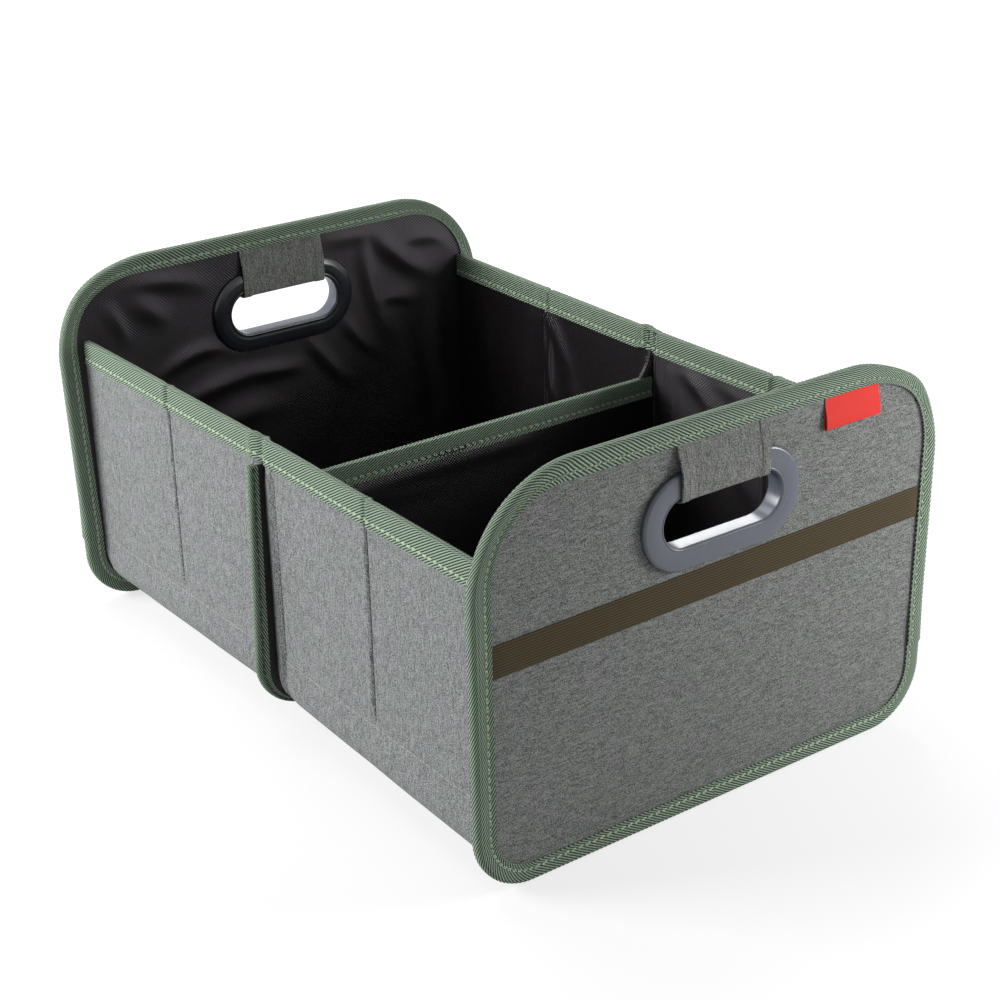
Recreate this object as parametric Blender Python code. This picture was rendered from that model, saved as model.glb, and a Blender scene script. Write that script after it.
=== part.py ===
"""A folding storage box for a car boot.

Two stiff end panels and a divider stand on their bound edges. Two fabric sleeves run between
them, with boards in their walls, and each holds a stiff floor that hinges up at the divider.

Metres, +Z up. The origin is on the ground under the middle of the box. X runs across the end
panels and Y along the box. The front panel, with the elastic band and the tag, faces -Y.
"""

import math

import bmesh
import bpy
from mathutils import Vector

# Whole box
BOX_WIDTH = 0.360
BOX_HEIGHT = 0.260
BOX_LENGTH = 0.500  # over the bound faces of the two end panels
GAP = 0.0003  # left between pieces that touch
SAME_POINT = 0.00003  # points nearer than this are one

# Cloth, tape and board thicknesses
CLOTH = 0.0008
TAPE = 0.0009
STRAP_CLOTH = 0.0015
PANEL_BOARD = 0.0030
DIVIDER_BOARD = 0.0016
WALL_BOARD = 0.0014
FLOOR_BOARD = 0.0024

# End panels
PANEL_TOP_RADIUS = 0.074
PANEL_LOW_RADIUS = 0.040
PANEL_TAPE_WIDTH = 0.013
PANEL_TAPE_TOP_RADIUS = 0.052  # of the tape's inner edge, tighter than a parallel one
TAPE_ROUNDING = 0.0014

# Handles: a clamped plastic ring round the hand hole, and a strap over its top bar
HAND_HOLE_LENGTH = 0.092
HAND_HOLE_HEIGHT = 0.032
HAND_HOLE_DROP = 0.061  # of the hole's middle, below the panel's top edge
RING_FLANGE_WIDTH = 0.015
RING_FLANGE_THICKNESS = 0.0040
RING_COLLAR = 0.0030
RING_ROUNDING = 0.0015
RING_LIP = 0.0010
STRAP_WIDTH = 0.070
STRAP_BEND = 0.0010
STRAP_SHOULDER = 0.0010

# Front panel's band and tag
BAND_WIDTH = 0.021
BAND_THICKNESS = 0.0012
BAND_LEFT_DROP = 0.1085  # of the band's middle, below the panel's top edge
BAND_RIGHT_DROP = 0.1035
TAG_LENGTH = 0.045
TAG_TO_SIDE = 0.053
TAG_DROP = 0.0335  # of its lower edge, below the panel's top edge
TAG_THICKNESS = 0.0008
TAG_LOOP_DEPTH = 0.0040
TAG_BEND = 0.0010

# Fabric sleeves, which make the walls and the bottom
WALL_DROP = 0.053  # of the walls' top edge, below the panel's
WALL_INSET = 0.0146  # of the wall's outer face at the end panels
WALL_PULL_IN = 0.0027  # how much further in the walls are at the divider
SLEEVE_LOW_Z = 0.019
SLEEVE_CORNER_RADIUS = 0.022
WALL_TAPE_WIDTH = 0.017
CREASE_HALF_WIDTH = 0.0035
CREASE_DEPTH = 0.0012
WALL_BOARD_LOW_Z = 0.056
WALL_BOARD_INSET = 0.0020
FOLD_DEPTH_AT_DIVIDER = 0.0015

# Divider
DIVIDER_DROP = 0.034  # of its top edge, below the walls'
DIVIDER_TAPE_WIDTH = 0.015
FIN_INSET = 0.0020  # of its foot, from the end panels' side edges
FIN_LEAN = 0.0045
FIN_LOW_RADIUS = 0.036
FIN_BELOW_SLEEVES = 0.0057
FIN_TAPE_WIDTH = 0.012  # less under the sleeves, where it is pressed flat
FIN_TAPE_INNER_RADIUS = 0.022
FIN_TO_WALL = 0.0005

# Hinged floors
FLOOR_SIDE_CLEARANCE = 0.012
FLOOR_END_CLEARANCE = 0.003
FLOOR_HINGE_GAP = 0.0005
STRIP_THICKNESS = 0.0008
STRIP_LENGTH = 0.080
STRIP_WIDTH = 0.020
STRIP_TO_FLOOR_END = 0.003
LOOP_LENGTH = 0.036
LOOP_WIDTH = 0.020
LOOP_FOOT = 0.008
LOOP_SLOPE = 0.004
LOOP_RISE = 0.003
LOOP_TO_FLOOR_END = 0.006

# Share of a thickness that an offset line moves along at a 45 degree bend
MITRE = math.tan(math.radians(45 / 2))

# Segments in a quarter circle
PANEL_STEPS = 8
HANDLE_STEPS = 6
SLEEVE_STEPS = 5
TAPE_STEPS = 2

# Places that follow from the sizes above
PANEL_FACE = PANEL_BOARD / 2 + GAP + CLOTH
PANEL_EDGE = PANEL_FACE + GAP + TAPE
PANEL_MID_Y = BOX_LENGTH / 2 - PANEL_EDGE
LINING_Y = PANEL_MID_Y - PANEL_FACE
HAND_HOLE_Z = BOX_HEIGHT - HAND_HOLE_DROP
BAND_LEFT_Z = BOX_HEIGHT - BAND_LEFT_DROP
BAND_RIGHT_Z = BOX_HEIGHT - BAND_RIGHT_DROP
TAG_LEFT_X = BOX_WIDTH / 2 - TAG_TO_SIDE - TAG_LENGTH
TAG_LOW_Z = BOX_HEIGHT - TAG_DROP
WALL_TOP_Z = BOX_HEIGHT - WALL_DROP
WALL_X_END = BOX_WIDTH / 2 - WALL_INSET
WALL_X_MIDDLE = WALL_X_END - WALL_PULL_IN
DIVIDER_TOP_Z = WALL_TOP_Z - DIVIDER_DROP
FIN_FOOT_X = BOX_WIDTH / 2 - FIN_INSET
FIN_TOP_X = FIN_FOOT_X - FIN_LEAN
FIN_FOOT_Z = SLEEVE_LOW_Z - FIN_BELOW_SLEEVES
DIVIDER_FACE = DIVIDER_BOARD / 2 + GAP + CLOTH
DIVIDER_EDGE = DIVIDER_FACE + GAP + TAPE
UNDER_TAPE = TAPE + GAP
WALL_STACK = 2 * CLOTH + 2 * GAP + WALL_BOARD
WALL_LINING_DEPTH = WALL_STACK - CLOTH
SLEEVE_TOP_Z = WALL_TOP_Z - UNDER_TAPE
SLEEVE_END_Y = LINING_Y - GAP
SLEEVE_DIVIDER_Y = DIVIDER_FACE + GAP
CREASE_Y = SLEEVE_END_Y / 2
LINING_TOP_Z = SLEEVE_LOW_Z + WALL_STACK
WALL_TAPE_END_Y = BOX_LENGTH / 2 - 2 * PANEL_EDGE - GAP
FIN_TOP_Z = WALL_TOP_Z - WALL_TAPE_WIDTH - GAP
EAR_X = WALL_X_MIDDLE - WALL_STACK
TAPE_EDGE_Z = BOX_HEIGHT - PANEL_TAPE_WIDTH
FLOOR_STACK = FLOOR_BOARD + 2 * GAP + 2 * CLOTH
HINGE_Y = DIVIDER_FACE + FLOOR_HINGE_GAP
HINGE_Z = LINING_TOP_Z + 3 * GAP + 2 * STRIP_THICKNESS + FLOOR_STACK
FLOOR_LENGTH = LINING_Y - FLOOR_END_CLEARANCE - HINGE_Y
FLOOR_HALF_WIDTH = WALL_X_MIDDLE - WALL_STACK - FLOOR_SIDE_CLEARANCE


# Scene and finishes
def clear_scene():
    for obj in list(bpy.data.objects):
        bpy.data.objects.remove(obj, do_unlink=True)


def finish(name, colour, roughness):
    material = bpy.data.materials.new(name)
    material.use_nodes = True
    shader = material.node_tree.nodes["Principled BSDF"]
    shader.inputs["Base Color"].default_value = (*colour, 1.0)
    shader.inputs["Roughness"].default_value = roughness
    shader.inputs["Metallic"].default_value = 0.0
    return material


def make_finishes():
    return {
        "grey_cloth": finish("grey_cloth", (0.16, 0.17, 0.16), 0.9),
        "black_lining": finish("black_lining", (0.012, 0.011, 0.013), 0.7),
        "green_tape": finish("green_tape", (0.14, 0.22, 0.15), 0.8),
        "ring_plastic": finish("ring_plastic", (0.06, 0.065, 0.08), 0.35),
        "band_elastic": finish("band_elastic", (0.07, 0.06, 0.035), 0.85),
        "red_tag": finish("red_tag", (0.75, 0.05, 0.04), 0.7),
        "stiff_board": finish("stiff_board", (0.20, 0.20, 0.20), 0.6),
        "hook_and_loop": finish("hook_and_loop", (0.02, 0.02, 0.02), 0.95),
    }


def frame_at(name, location, turned=False, parent=None):
    """An empty that carries pieces, turned half round Z for the rear of the box."""
    empty = bpy.data.objects.new(name, None)
    empty.location = location
    empty.rotation_euler = (0.0, 0.0, math.pi if turned else 0.0)
    empty.parent = parent
    bpy.context.scene.collection.objects.link(empty)
    return empty


# Solids
def add_piece(name, bm, material, parent):
    bmesh.ops.recalc_face_normals(bm, faces=bm.faces)
    mesh = bpy.data.meshes.new(name)
    bm.to_mesh(mesh)
    bm.free()
    mesh.materials.append(material)
    piece = bpy.data.objects.new(name, mesh)
    piece.parent = parent
    bpy.context.scene.collection.objects.link(piece)
    return piece


def join_rows(bm, rows, closed=False):
    """Faces between neighbouring rows of vertices, and from the last row to the first."""
    following = rows[1:] + rows[:1] if closed else rows[1:]
    for row, after in zip(rows, following):
        for place in range(len(row) - 1):
            bm.faces.new((row[place], row[place + 1], after[place + 1], after[place]))


def thick_sheet(name, outer, inner, material, parent, closed=False):
    """A closed solid between two like grids of points. A closed one joins its two ends."""
    bm = bmesh.new()
    skins = [[[bm.verts.new(point) for point in row] for row in grid] for grid in (outer, inner)]
    for rows in skins:
        join_rows(bm, rows, closed)
    for side in (0, -1):
        join_rows(bm, [[out[side], into[side]] for out, into in zip(*skins)], closed)
    if not closed:
        for end in (0, -1):
            join_rows(bm, [skins[0][end], skins[1][end]])
    return add_piece(name, bm, material, parent)


def swept_ring(name, sections, material, parent):
    """A solid ring through like closed sections."""
    bm = bmesh.new()
    rows = [[bm.verts.new(point) for point in section] for section in sections]
    join_rows(bm, [row + row[:1] for row in rows], closed=True)
    return add_piece(name, bm, material, parent)


def plate(name, loops, faces_y, material, parent):
    """An upright plate: its outline and any hole as (x, z) loops, between two faces' y."""
    near, far = faces_y
    bm = bmesh.new()
    for loop in loops:
        verts = [bm.verts.new((x, near, z)) for x, z in loop]
        for start, end in zip(verts, verts[1:] + verts[:1]):
            bm.edges.new((start, end))
    bmesh.ops.triangle_fill(bm, edges=bm.edges[:], use_beauty=True)
    raised = bmesh.ops.extrude_face_region(bm, geom=bm.faces[:])["geom"]
    lifted = [item for item in raised if isinstance(item, bmesh.types.BMVert)]
    bmesh.ops.translate(bm, verts=lifted, vec=(0.0, far - near, 0.0))
    return add_piece(name, bm, material, parent)


def block(name, low, high, material, parent):
    """A box between two corners."""
    low, high = Vector(low), Vector(high)
    bm = bmesh.new()
    bmesh.ops.create_cube(bm, size=1.0)
    bmesh.ops.scale(bm, vec=high - low, verts=bm.verts)
    bmesh.ops.translate(bm, vec=(low + high) / 2, verts=bm.verts)
    return add_piece(name, bm, material, parent)


# Outlines
def arc(centre, radius, start, steps):
    """Points (x, z) of a quarter circle from the angle start, anticlockwise."""
    angles = [math.radians(start + 90 * step / steps) for step in range(steps + 1)]
    return [(centre[0] + radius * math.cos(a), centre[1] + radius * math.sin(a)) for a in angles]


def rounded_outline(half_width, low, high, low_radius, high_radius, grow=0.0, steps=PANEL_STEPS):
    """Points (x, z) of a rounded rectangle, moved outwards by grow."""
    low_x, low_z = half_width - low_radius, low + low_radius
    high_x, high_z = half_width - high_radius, high - high_radius
    points = (
        arc((low_x, low_z), low_radius + grow, -90, steps)
        + arc((high_x, high_z), high_radius + grow, 0, steps)
        + arc((-high_x, high_z), high_radius + grow, 90, steps)
        + arc((-low_x, low_z), low_radius + grow, 180, steps)
    )
    apart = [math.dist(point, points[index - 1]) for index, point in enumerate(points)]
    return [point for point, distance in zip(points, apart) if distance > SAME_POINT]


def panel_outline(depth):
    """The end panel's outline, depth inside its bound edge."""
    return rounded_outline(
        BOX_WIDTH / 2, 0.0, BOX_HEIGHT, PANEL_LOW_RADIUS, PANEL_TOP_RADIUS, -depth
    )


def hole_outline(grow):
    """The hand hole's outline, grown by grow."""
    half_height = HAND_HOLE_HEIGHT / 2
    low, high = HAND_HOLE_Z - half_height, HAND_HOLE_Z + half_height
    return rounded_outline(
        HAND_HOLE_LENGTH / 2, low, high, half_height, half_height, grow, HANDLE_STEPS
    )


def tape_side(half_thickness, rounding, inset):
    """Rounded side of a folded tape, as (depth from its fold, offset from its middle)."""
    radius = rounding - inset
    turn = [math.radians(90 * step / TAPE_STEPS) for step in range(TAPE_STEPS + 1)]
    flat = half_thickness - rounding
    return [(rounding - radius * math.sin(a), flat + radius * math.cos(a)) for a in turn]


def tape_section(half_thickness, width, inset):
    """Whole section of a folded tape, inset from its outer skin."""
    side = [(width, half_thickness - inset)] + tape_side(half_thickness, TAPE_ROUNDING, inset)
    return side + [(depth, -offset) for depth, offset in reversed(side)]


# End panels, in a frame whose -Y side faces outwards
def panel_tape_grid(inset):
    """Points of the end panel's edge tape, one row for each point of the outline."""
    section = tape_section(PANEL_EDGE, PANEL_TAPE_WIDTH, inset)
    inner_edge = rounded_outline(
        BOX_WIDTH / 2 - PANEL_TAPE_WIDTH,
        PANEL_TAPE_WIDTH,
        TAPE_EDGE_Z,
        PANEL_LOW_RADIUS - PANEL_TAPE_WIDTH,
        PANEL_TAPE_TOP_RADIUS,
    )
    columns = [inner_edge] + [panel_outline(depth) for depth, _ in section[1:-1]] + [inner_edge]
    return [
        [Vector((x, -offset, z)) for (x, z), (_, offset) in zip(row, section)]
        for row in zip(*columns)
    ]


def add_handle(end, finishes, frame):
    """The two rings that clamp the panel round its hand hole."""
    face = PANEL_FACE + GAP
    top = face + RING_FLANGE_THICKNESS
    bend = RING_ROUNDING
    collar_end = -(top - RING_LIP - GAP)
    outer_section = (
        (0.0, collar_end),
        (0.0, top - bend),
        (bend, top),
        (RING_FLANGE_WIDTH - bend, top),
        (RING_FLANGE_WIDTH, top - bend),
        (RING_FLANGE_WIDTH, face),
        (RING_COLLAR, face),
        (RING_COLLAR, collar_end),
    )
    clear = RING_COLLAR + GAP
    inner_section = (
        (clear, -(top - RING_LIP)),
        (0.0, -(top - RING_LIP)),
        (bend / 2, -top),
        (RING_FLANGE_WIDTH - bend, -top),
        (RING_FLANGE_WIDTH, -(top - bend)),
        (RING_FLANGE_WIDTH, -face),
        (clear, -face),
    )
    for name, section in (("outer", outer_section), ("inner", inner_section)):
        columns = [hole_outline(grow) for grow, _ in section]
        sections = [
            [Vector((x, -out, z)) for (x, z), (_, out) in zip(row, section)]
            for row in zip(*columns)
        ]
        swept_ring(f"{end}_handle_{name}_ring", sections, finishes["ring_plastic"], frame)


def strap_path(offset):
    """Side view (out, z) of the strap that hangs round the ring's top bar, offset outwards."""
    ring_top = HAND_HOLE_Z + HAND_HOLE_HEIGHT / 2 + RING_FLANGE_WIDTH
    over_ring = PANEL_FACE + 2 * GAP + RING_FLANGE_THICKNESS
    round_end = (STRAP_WIDTH - HAND_HOLE_LENGTH + HAND_HOLE_HEIGHT) / 2
    arch = math.sqrt((HAND_HOLE_HEIGHT / 2) ** 2 - round_end**2)
    under_bar = HAND_HOLE_Z + arch - GAP
    turn = offset * MITRE
    outside = [
        (PANEL_FACE + GAP + offset, TAPE_EDGE_Z - GAP),
        (over_ring + offset, ring_top + STRAP_SHOULDER),
        (over_ring + offset, under_bar + STRAP_BEND - turn),
        (over_ring - STRAP_BEND + turn, under_bar - offset),
    ]
    return outside + [(-out, z) for out, z in reversed(outside)]


def add_strap(end, finishes, frame):
    def grid(offset):
        path = strap_path(offset)
        return [[Vector((x, -out, z)) for out, z in path] for x in (-STRAP_WIDTH / 2, STRAP_WIDTH / 2)]

    thick_sheet(f"{end}_grip_strap", grid(STRAP_CLOTH), grid(0.0), finishes["grey_cloth"], frame)


def add_end_panel(end, finishes, frame):
    half = PANEL_BOARD / 2
    outline = panel_outline(UNDER_TAPE)
    hole = hole_outline(RING_COLLAR + GAP)
    cover = (-PANEL_FACE, -half - GAP)
    lining = (half + GAP, PANEL_FACE)
    plate(f"{end}_panel_board", [outline, hole], (-half, half), finishes["stiff_board"], frame)
    plate(f"{end}_panel_cover", [outline, hole], cover, finishes["grey_cloth"], frame)
    plate(f"{end}_panel_lining", [outline, hole], lining, finishes["black_lining"], frame)
    thick_sheet(
        f"{end}_panel_binding",
        panel_tape_grid(0.0),
        panel_tape_grid(TAPE),
        finishes["green_tape"],
        frame,
        closed=True,
    )
    add_handle(end, finishes, frame)
    add_strap(end, finishes, frame)


def add_band(finishes, frame):
    """Elastic band across the front panel, from tape to tape."""
    end_x = BOX_WIDTH / 2 - PANEL_TAPE_WIDTH - GAP
    near = PANEL_FACE + GAP

    def grid(out):
        return [
            [Vector((x, -out, z - BAND_WIDTH / 2)), Vector((x, -out, z + BAND_WIDTH / 2))]
            for x, z in ((-end_x, BAND_LEFT_Z), (end_x, BAND_RIGHT_Z))
        ]

    band = finishes["band_elastic"]
    thick_sheet("front_elastic_band", grid(near + BAND_THICKNESS), grid(near), band, frame)


def tape_edge_height(x):
    """Height of the front tape's inner edge above the ground, at x."""
    bend_x = BOX_WIDTH / 2 - PANEL_TAPE_WIDTH - PANEL_TAPE_TOP_RADIUS
    past = max(0.0, x - bend_x)
    return TAPE_EDGE_Z - PANEL_TAPE_TOP_RADIUS + math.sqrt(PANEL_TAPE_TOP_RADIUS**2 - past**2)


def add_tag(finishes, frame):
    """A plain folded tag whose two ends go under the tape."""
    near = PANEL_FACE + GAP
    far = near + TAG_LOOP_DEPTH
    bend = TAG_BEND

    def grid(inset):
        low = TAG_LOW_Z + inset
        turn = inset * MITRE
        rows = []
        for x in (TAG_LEFT_X, TAG_LEFT_X + TAG_LENGTH):
            high = tape_edge_height(x) - GAP
            side = [(far - inset, high), (far - inset, low + bend - inset + turn), (far - bend - turn, low)]
            back = [(near + far - out, z) for out, z in reversed(side)]
            rows.append([Vector((x, -out, z)) for out, z in side + back])
        return rows

    thick_sheet("front_label_tag", grid(0.0), grid(TAG_THICKNESS), finishes["red_tag"], frame)


# Sleeves, in a frame whose end panel is on its -Y side
def wall_x(y):
    """Distance of a wall's outer face from the middle plane, at y."""
    return WALL_X_MIDDLE + (WALL_X_END - WALL_X_MIDDLE) * abs(y) / SLEEVE_END_Y


def sleeve_path(y, depth, dip):
    """Section (x, z) of the sleeve at y, depth inside its outer face: wall, bottom, wall."""
    half = wall_x(y) - depth - dip
    radius = SLEEVE_CORNER_RADIUS - depth
    corner = arc((radius - half, SLEEVE_LOW_Z + depth + radius), radius, 180, SLEEVE_STEPS)
    left = [(-half, SLEEVE_TOP_Z)] + corner
    return left + [(-x, z) for x, z in reversed(left)]


def sleeve_grid(depth, crease_depth):
    stations = (
        (SLEEVE_END_Y, 0.0),
        (CREASE_Y + CREASE_HALF_WIDTH, 0.0),
        (CREASE_Y, crease_depth),
        (CREASE_Y - CREASE_HALF_WIDTH, 0.0),
        (SLEEVE_DIVIDER_Y, 0.0),
    )
    return [[Vector((x, -y, z)) for x, z in sleeve_path(y, depth, dip)] for y, dip in stations]


def add_wall_boards(end, finishes, frame):
    """Two boards in each wall, with a fold between them."""
    spans = {
        "outer": (SLEEVE_END_Y - WALL_BOARD_INSET, CREASE_Y + CREASE_HALF_WIDTH),
        "inner": (CREASE_Y - CREASE_HALF_WIDTH, SLEEVE_DIVIDER_Y + WALL_BOARD_INSET),
    }
    high = SLEEVE_TOP_Z - WALL_BOARD_INSET
    near = CLOTH + GAP
    sides = {"left": -1, "right": 1} if end == "front" else {"left": 1, "right": -1}
    for side, sign in sides.items():
        for place, span in spans.items():
            grids = [
                [
                    [Vector((sign * (wall_x(y) - depth), -y, z)) for z in (WALL_BOARD_LOW_Z, high)]
                    for y in span
                ]
                for depth in (near, near + WALL_BOARD)
            ]
            thick_sheet(f"{end}_{side}_{place}_wall_board", *grids, finishes["stiff_board"], frame)


def add_sleeve(end, finishes, frame):
    cover = sleeve_grid(0.0, CREASE_DEPTH), sleeve_grid(CLOTH, CREASE_DEPTH)
    lining = sleeve_grid(WALL_LINING_DEPTH, 0.0), sleeve_grid(WALL_STACK, 0.0)
    thick_sheet(f"{end}_sleeve_cover", *cover, finishes["grey_cloth"], frame)
    thick_sheet(f"{end}_sleeve_lining", *lining, finishes["black_lining"], frame)
    add_wall_boards(end, finishes, frame)


def wall_tape_grid(sign, inset):
    """Tape over a wall's top edge, from one end panel to the other."""
    fold = (
        (WALL_TAPE_END_Y, 0.0),
        (CREASE_Y + CREASE_HALF_WIDTH, 0.0),
        (CREASE_Y, CREASE_DEPTH),
        (CREASE_Y - CREASE_HALF_WIDTH, 0.0),
        (SLEEVE_DIVIDER_Y, 0.0),
    )
    stations = (
        [(-y, dip) for y, dip in fold]
        + [(0.0, FOLD_DEPTH_AT_DIVIDER)]
        + [(y, dip) for y, dip in reversed(fold)]
    )
    section = tape_section(WALL_STACK / 2 + GAP + TAPE, WALL_TAPE_WIDTH, inset)
    return [
        [
            Vector((sign * (wall_x(y) - WALL_STACK / 2 + offset - dip), y, WALL_TOP_Z - depth))
            for depth, offset in section
        ]
        for y, dip in stations
    ]


# Divider
def divider_outline():
    """Outline (x, z) of the divider, with an ear between the walls' ends on each side."""
    centre = (FIN_FOOT_X - FIN_LOW_RADIUS, FIN_FOOT_Z + FIN_LOW_RADIUS)
    foot = arc(centre, FIN_LOW_RADIUS - UNDER_TAPE, -90, SLEEVE_STEPS)
    top = DIVIDER_TOP_Z - UNDER_TAPE
    ear = [(FIN_TOP_X - UNDER_TAPE, FIN_TOP_Z), (EAR_X, FIN_TOP_Z), (EAR_X, top)]
    right = foot + ear
    return right + [(-x, z) for x, z in reversed(right)]


def fin_path(depth):
    """Open path (x, z) of the divider's edge tape, depth inside its outer edge."""
    share = depth / FIN_TAPE_WIDTH
    inner_x = WALL_X_MIDDLE + FIN_TO_WALL
    inner_z = SLEEVE_LOW_Z - FIN_TO_WALL
    inner_centre = (inner_x - FIN_TAPE_INNER_RADIUS, inner_z + FIN_TAPE_INNER_RADIUS)
    outer_centre = (FIN_FOOT_X - FIN_LOW_RADIUS, FIN_FOOT_Z + FIN_LOW_RADIUS)
    outer = arc(outer_centre, FIN_LOW_RADIUS, -90, SLEEVE_STEPS) + [(FIN_TOP_X, FIN_TOP_Z)]
    inner = arc(inner_centre, FIN_TAPE_INNER_RADIUS, -90, SLEEVE_STEPS) + [(inner_x, FIN_TOP_Z)]
    right = [
        (out[0] + (into[0] - out[0]) * share, out[1] + (into[1] - out[1]) * share)
        for out, into in zip(outer, inner)
    ]
    return [(-x, z) for x, z in reversed(right)] + right


def fin_tape_grid(inset):
    section = tape_section(DIVIDER_EDGE, FIN_TAPE_WIDTH, inset)
    columns = [fin_path(depth) for depth, _ in section]
    return [
        [Vector((x, offset, z)) for (x, z), (_, offset) in zip(row, section)]
        for row in zip(*columns)
    ]


def divider_top_grid(inset):
    section = tape_section(DIVIDER_EDGE, DIVIDER_TAPE_WIDTH, inset)
    end_x = EAR_X - GAP
    return [
        [Vector((x, offset, DIVIDER_TOP_Z - depth)) for depth, offset in section]
        for x in (-end_x, end_x)
    ]


def add_divider(finishes, frame):
    half = DIVIDER_BOARD / 2
    outline = [divider_outline()]
    tape = finishes["green_tape"]
    lining = finishes["black_lining"]
    plate("divider_board", outline, (-half, half), finishes["stiff_board"], frame)
    plate("divider_front_cover", outline, (-DIVIDER_FACE, -half - GAP), lining, frame)
    plate("divider_rear_cover", outline, (half + GAP, DIVIDER_FACE), lining, frame)
    thick_sheet("divider_top_binding", divider_top_grid(0.0), divider_top_grid(TAPE), tape, frame)
    thick_sheet("divider_edge_binding", fin_tape_grid(0.0), fin_tape_grid(TAPE), tape, frame)


# Hinged floors, in a frame on the hinge axis whose end panel is on its -Y side
def add_floor_pocket(end, finishes, hinge):
    """A cloth pocket that is open at the hinge, where the board goes in."""
    bm = bmesh.new()
    bmesh.ops.create_cube(bm, size=1.0)
    size = (2 * FLOOR_HALF_WIDTH, FLOOR_LENGTH, FLOOR_STACK)
    bmesh.ops.scale(bm, vec=size, verts=bm.verts)
    bmesh.ops.translate(bm, vec=(0.0, -FLOOR_LENGTH / 2, -FLOOR_STACK / 2), verts=bm.verts)
    mouth = max(bm.faces, key=lambda face: face.calc_center_median().y)
    bmesh.ops.delete(bm, geom=[mouth], context="FACES_ONLY")
    pocket = add_piece(f"{end}_floor_pocket", bm, finishes["black_lining"], hinge)
    wall = pocket.modifiers.new("cloth", "SOLIDIFY")
    wall.thickness = CLOTH
    wall.offset = -1.0
    wall.use_even_offset = True


def add_pull_loop(end, finishes, hinge):
    """A tape loop on top of the floor, to lift it by."""
    start = FLOOR_LENGTH - LOOP_TO_FLOOR_END
    steps = (0.0, LOOP_FOOT, LOOP_FOOT + LOOP_SLOPE)
    heights = (0.0, 0.0, LOOP_RISE)
    half = [(step, height) for step, height in zip(steps, heights)]
    path = half + [(LOOP_LENGTH - step, height) for step, height in reversed(half)]

    def grid(lift):
        return [
            [Vector((x, step - start, GAP + height + lift)) for step, height in path]
            for x in (-LOOP_WIDTH / 2, LOOP_WIDTH / 2)
        ]

    thick_sheet(f"{end}_floor_pull_loop", grid(TAPE), grid(0.0), finishes["green_tape"], hinge)


def add_floor(end, finishes, frame):
    hinge = frame_at(f"{end}_floor_hinge", (0.0, -HINGE_Y, HINGE_Z), parent=frame)
    add_floor_pocket(end, finishes, hinge)
    skin = CLOTH + GAP
    board_x = FLOOR_HALF_WIDTH - skin
    block(
        f"{end}_floor_board",
        (-board_x, skin - FLOOR_LENGTH, skin - FLOOR_STACK),
        (board_x, -skin, -skin),
        finishes["stiff_board"],
        hinge,
    )
    add_pull_loop(end, finishes, hinge)
    strip_x = STRIP_LENGTH / 2
    far = STRIP_TO_FLOOR_END - FLOOR_LENGTH
    under = -FLOOR_STACK - GAP
    strip = finishes["hook_and_loop"]
    block(
        f"{end}_floor_hook_strip",
        (-strip_x, far, under - STRIP_THICKNESS),
        (strip_x, far + STRIP_WIDTH, under),
        strip,
        hinge,
    )
    low = LINING_TOP_Z + GAP
    block(
        f"{end}_floor_loop_strip",
        (-strip_x, far - HINGE_Y, low),
        (strip_x, far - HINGE_Y + STRIP_WIDTH, low + STRIP_THICKNESS),
        strip,
        frame,
    )


def build_box():
    clear_scene()
    finishes = make_finishes()
    for end, sign in (("front", -1), ("rear", 1)):
        turned = end == "rear"
        panel = frame_at(f"{end}_panel_frame", (0.0, sign * PANEL_MID_Y, 0.0), turned)
        add_end_panel(end, finishes, panel)
        if end == "front":
            add_band(finishes, panel)
            add_tag(finishes, panel)
        compartment = frame_at(f"{end}_compartment_frame", (0.0, 0.0, 0.0), turned)
        add_sleeve(end, finishes, compartment)
        add_floor(end, finishes, compartment)
    middle = frame_at("divider_frame", (0.0, 0.0, 0.0))
    add_divider(finishes, middle)
    for side, sign in (("left", -1), ("right", 1)):
        grids = wall_tape_grid(sign, 0.0), wall_tape_grid(sign, TAPE)
        thick_sheet(f"{side}_wall_binding", *grids, finishes["green_tape"], middle)


build_box()
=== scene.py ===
import math

import bmesh
import bpy
from mathutils import Matrix, Vector, noise


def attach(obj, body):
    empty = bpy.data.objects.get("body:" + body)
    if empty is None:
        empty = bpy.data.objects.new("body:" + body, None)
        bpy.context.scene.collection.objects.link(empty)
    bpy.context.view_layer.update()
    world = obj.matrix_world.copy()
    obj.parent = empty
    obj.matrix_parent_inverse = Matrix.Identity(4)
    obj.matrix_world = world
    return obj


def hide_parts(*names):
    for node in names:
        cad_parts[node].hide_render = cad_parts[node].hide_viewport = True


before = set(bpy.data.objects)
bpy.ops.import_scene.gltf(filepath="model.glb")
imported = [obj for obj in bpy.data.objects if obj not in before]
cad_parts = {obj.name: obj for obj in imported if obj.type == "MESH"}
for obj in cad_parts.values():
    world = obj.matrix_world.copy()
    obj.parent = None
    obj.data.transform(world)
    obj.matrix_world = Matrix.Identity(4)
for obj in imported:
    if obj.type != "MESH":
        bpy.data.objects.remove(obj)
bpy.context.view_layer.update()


# Studio. The box stands on white paper, seen from its left front corner and a little from above.
# A large softbox at the left rear makes its left walls the brightest. Weaker ones above it, close
# to its right front corner and at the right rear fill in the rest.
camera = bpy.data.objects.new("studio_camera", bpy.data.cameras.new("studio_camera"))
camera.data.lens = 73.8
camera.data.sensor_width = 36.0
camera.location = (-0.7445, -1.0558, 0.6852)
camera.rotation_euler = [math.radians(angle) for angle in (66.3015, 1.1855, -36.5192)]
bpy.context.scene.collection.objects.link(camera)
bpy.context.scene.camera = camera


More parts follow.
